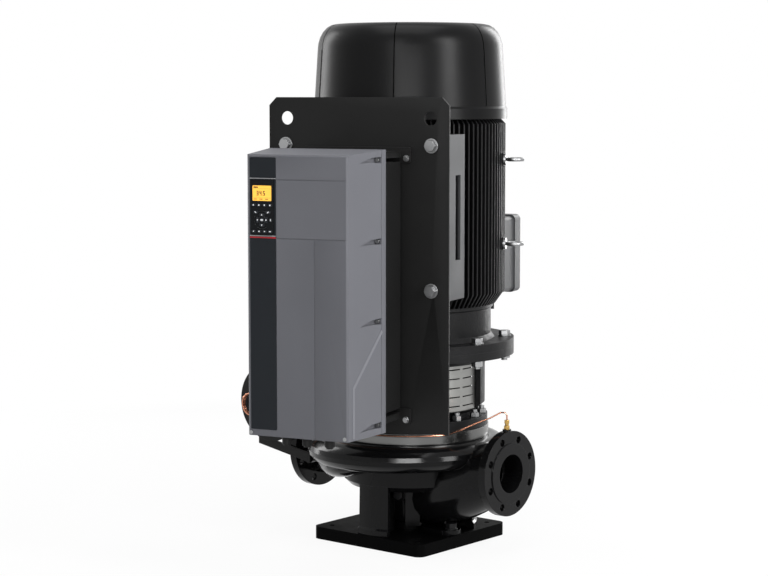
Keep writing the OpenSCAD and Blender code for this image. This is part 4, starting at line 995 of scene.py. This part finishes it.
# Camera: place and reach in metres, heading from +Y towards -X and pitch below the horizon in degrees,
# lens and sensor in millimetres
CAMERA_PLACE = (3.308, -4.074, 1.186)
CAMERA_HEADING = 39.826
CAMERA_DOWN = 5.651
CAMERA_LENS = 93.46
CAMERA_SENSOR = 36
CAMERA_REACH = 50

# Floor: half its side and how far it lies below the pump, in metres
FLOOR_SPAN = 14.0
FLOOR_DROP = 0.5 * MM
# How white the floor shows near the pump, and the distances between which it turns all white
FLOOR_WHITE = 0.9
FLOOR_NEAR = 1.0
FLOOR_FAR = 2.6
# Strength of the world's light on the pump, and the point that the lamps aim at
WORLD_LIGHT = 0.33
LAMP_AIM = (0, 0, 0.7)
# Lamps: name, angle round the pump from +X, distance, height, width and height of the lamp in metres, watts
LAMPS = (
    ("key", -4, 3.2, 1.9, 0.9, 2.4, 100),
    ("fill", -66, 3.6, 2.0, 0.6, 2.2, 28),
    ("top", -60, 0.6, 3.6, 2.2, 2.2, 45),
    ("glint", -50, 4.0, 1.15, 1.8, 0.3, 78),
    ("rim_right", 96, 3.0, 1.5, 0.8, 2.6, 48),
    ("rim_left", -176, 3.0, 1.5, 0.8, 2.6, 45),
)
# Lamps that only show as highlights
GLOSS_LAMPS = ("glint",)


class PUMP_OT_stage(bpy.types.Operator):
    """Set up the floor, the lamps, the white surround and the camera"""

    bl_idname = "pump.stage"
    bl_label = "Studio and camera"

    def execute(self, context):
        scene = context.scene
        scene.view_settings.view_transform = "Standard"
        self.add_surround(scene)
        self.add_floor(scene)
        for lamp in LAMPS:
            self.add_lamp(scene, *lamp)
        self.add_camera(scene)
        return {"FINISHED"}

    def seen_white(self, start):
        """1 for rays from the camera, a reflection or glass"""
        camera = start.node("ShaderNodeLightPath", None, None, "Is Camera Ray")
        glossy = start.node("ShaderNodeLightPath", None, None, "Is Glossy Ray")
        through = start.node("ShaderNodeLightPath", None, None, "Is Transmission Ray")
        return start.math("MAXIMUM", camera, start.math("MAXIMUM", glossy, through))

    def add_surround(self, scene):
        """World that shows white and lights the object softly"""
        world = bpy.data.worlds.new("studio")
        scene.world = world
        world.use_nodes = True
        tree = world.node_tree
        tree.nodes.clear()
        start = Signal(tree, tree.nodes.new("ShaderNodeTexCoord").outputs["Generated"])
        seen = self.seen_white(start)
        shown = start.node("ShaderNodeBackground", None, {"Color": (1, 1, 1, 1), "Strength": 1.0})
        light = start.node("ShaderNodeBackground", None, {"Color": (1, 1, 1, 1), "Strength": WORLD_LIGHT})
        both = start.node("ShaderNodeMixShader", None, {0: seen, 1: light, 2: shown})
        tree.links.new(both.socket, tree.nodes.new("ShaderNodeOutputWorld").inputs["Surface"])

    def add_floor(self, scene):
        """White floor that keeps a soft shadow"""
        mesh = bmesh.new()
        corners = ((-1, -1), (1, -1), (1, 1), (-1, 1))
        mesh.faces.new([mesh.verts.new((x * FLOOR_SPAN, y * FLOOR_SPAN, -FLOOR_DROP)) for x, y in corners])
        data = bpy.data.meshes.new("floor")
        mesh.to_mesh(data)
        mesh.free()
        floor = bpy.data.objects.new("floor", data)
        scene.collection.objects.link(floor)
        material = bpy.data.materials.new("floor_white")
        material.use_nodes = True
        tree = material.node_tree
        tree.nodes.clear()
        start = Signal(tree, tree.nodes.new("ShaderNodeTexCoord").outputs["Object"])
        seen = self.seen_white(start)
        paint = start.node("ShaderNodeBsdfDiffuse", None, {"Color": (0.8, 0.8, 0.8, 1)})
        glow = start.node("ShaderNodeEmission", None, {"Color": (1, 1, 1, 1), "Strength": 1.0})
        reach = start.node("ShaderNodeVectorMath", {"operation": "LENGTH"}, {0: start}, "Value")
        white = seen.math("MAXIMUM", reach.step(FLOOR_NEAR, FLOOR_FAR), FLOOR_WHITE)
        both = start.node("ShaderNodeMixShader", None, {0: white * seen, 1: paint, 2: glow})
        tree.links.new(both.socket, tree.nodes.new("ShaderNodeOutputMaterial").inputs["Surface"])
        data.materials.append(material)

    def add_lamp(self, scene, name, angle, distance, height, wide, tall, watts):
        """One soft rectangular lamp on a circle round the pump, aimed at its middle"""
        lamp = bpy.data.lights.new(name, "AREA")
        lamp.shape = "RECTANGLE"
        lamp.size = wide
        lamp.size_y = tall
        lamp.energy = watts
        holder = bpy.data.objects.new(name, lamp)
        holder.visible_diffuse = name not in GLOSS_LAMPS
        scene.collection.objects.link(holder)
        turn = math.radians(angle)
        holder.location = (distance * math.cos(turn), distance * math.sin(turn), height)
        holder.rotation_euler = (Vector(LAMP_AIM) - holder.location).to_track_quat("-Z", "Y").to_euler()

    def add_camera(self, scene):
        """Camera at the photograph's viewpoint"""
        data = bpy.data.cameras.new("camera")
        data.sensor_width = CAMERA_SENSOR
        data.lens = CAMERA_LENS
        data.clip_end = CAMERA_REACH
        camera = bpy.data.objects.new("camera", data)
        scene.collection.objects.link(camera)
        camera.location = CAMERA_PLACE
        camera.rotation_euler = [math.radians(turn) for turn in (90 - CAMERA_DOWN, 0, CAMERA_HEADING)]
        scene.camera = camera


class PUMP_PT_panel(bpy.types.Panel):
    """Buttons and settings of the pump's dressing"""

    bl_idname = "PUMP_PT_panel"
    bl_label = "In-line pump"
    bl_space_type = "VIEW_3D"
    bl_region_type = "UI"
    bl_category = "Pump"

    def draw(self, context):
        for group in (context.scene.pump_sizes, context.scene.pump_colours):
            box = self.layout.box()
            for name in group.__annotations__:
                box.prop(group, name)
        for operator in OPERATORS:
            self.layout.operator(operator.bl_idname)


# The operators in the order in which they run
OPERATORS = (
    PUMP_OT_castings,
    PUMP_OT_sheet_metal,
    PUMP_OT_fasteners,
    PUMP_OT_drive,
    PUMP_OT_keypad,
    PUMP_OT_display,
    PUMP_OT_pipework,
    PUMP_OT_rotor,
    PUMP_OT_stage,
)
CLASSES = (PumpSizes, PumpColours, *OPERATORS, PUMP_PT_panel)


def register():
    """Makes the classes and the two groups of settings known to Blender."""
    for one in CLASSES:
        bpy.utils.register_class(one)
    bpy.types.Scene.pump_sizes = bpy.props.PointerProperty(type=PumpSizes)
    bpy.types.Scene.pump_colours = bpy.props.PointerProperty(type=PumpColours)


def unregister():
    """Takes back what register made known."""
    del bpy.types.Scene.pump_colours
    del bpy.types.Scene.pump_sizes
    for one in reversed(CLASSES):
        bpy.utils.unregister_class(one)


def main():
    """Dresses the pump piece by piece."""
    register()
    for operator in OPERATORS:
        getattr(bpy.ops.pump, operator.bl_idname.split(".")[1])()


if __name__ == "__main__":
    main()
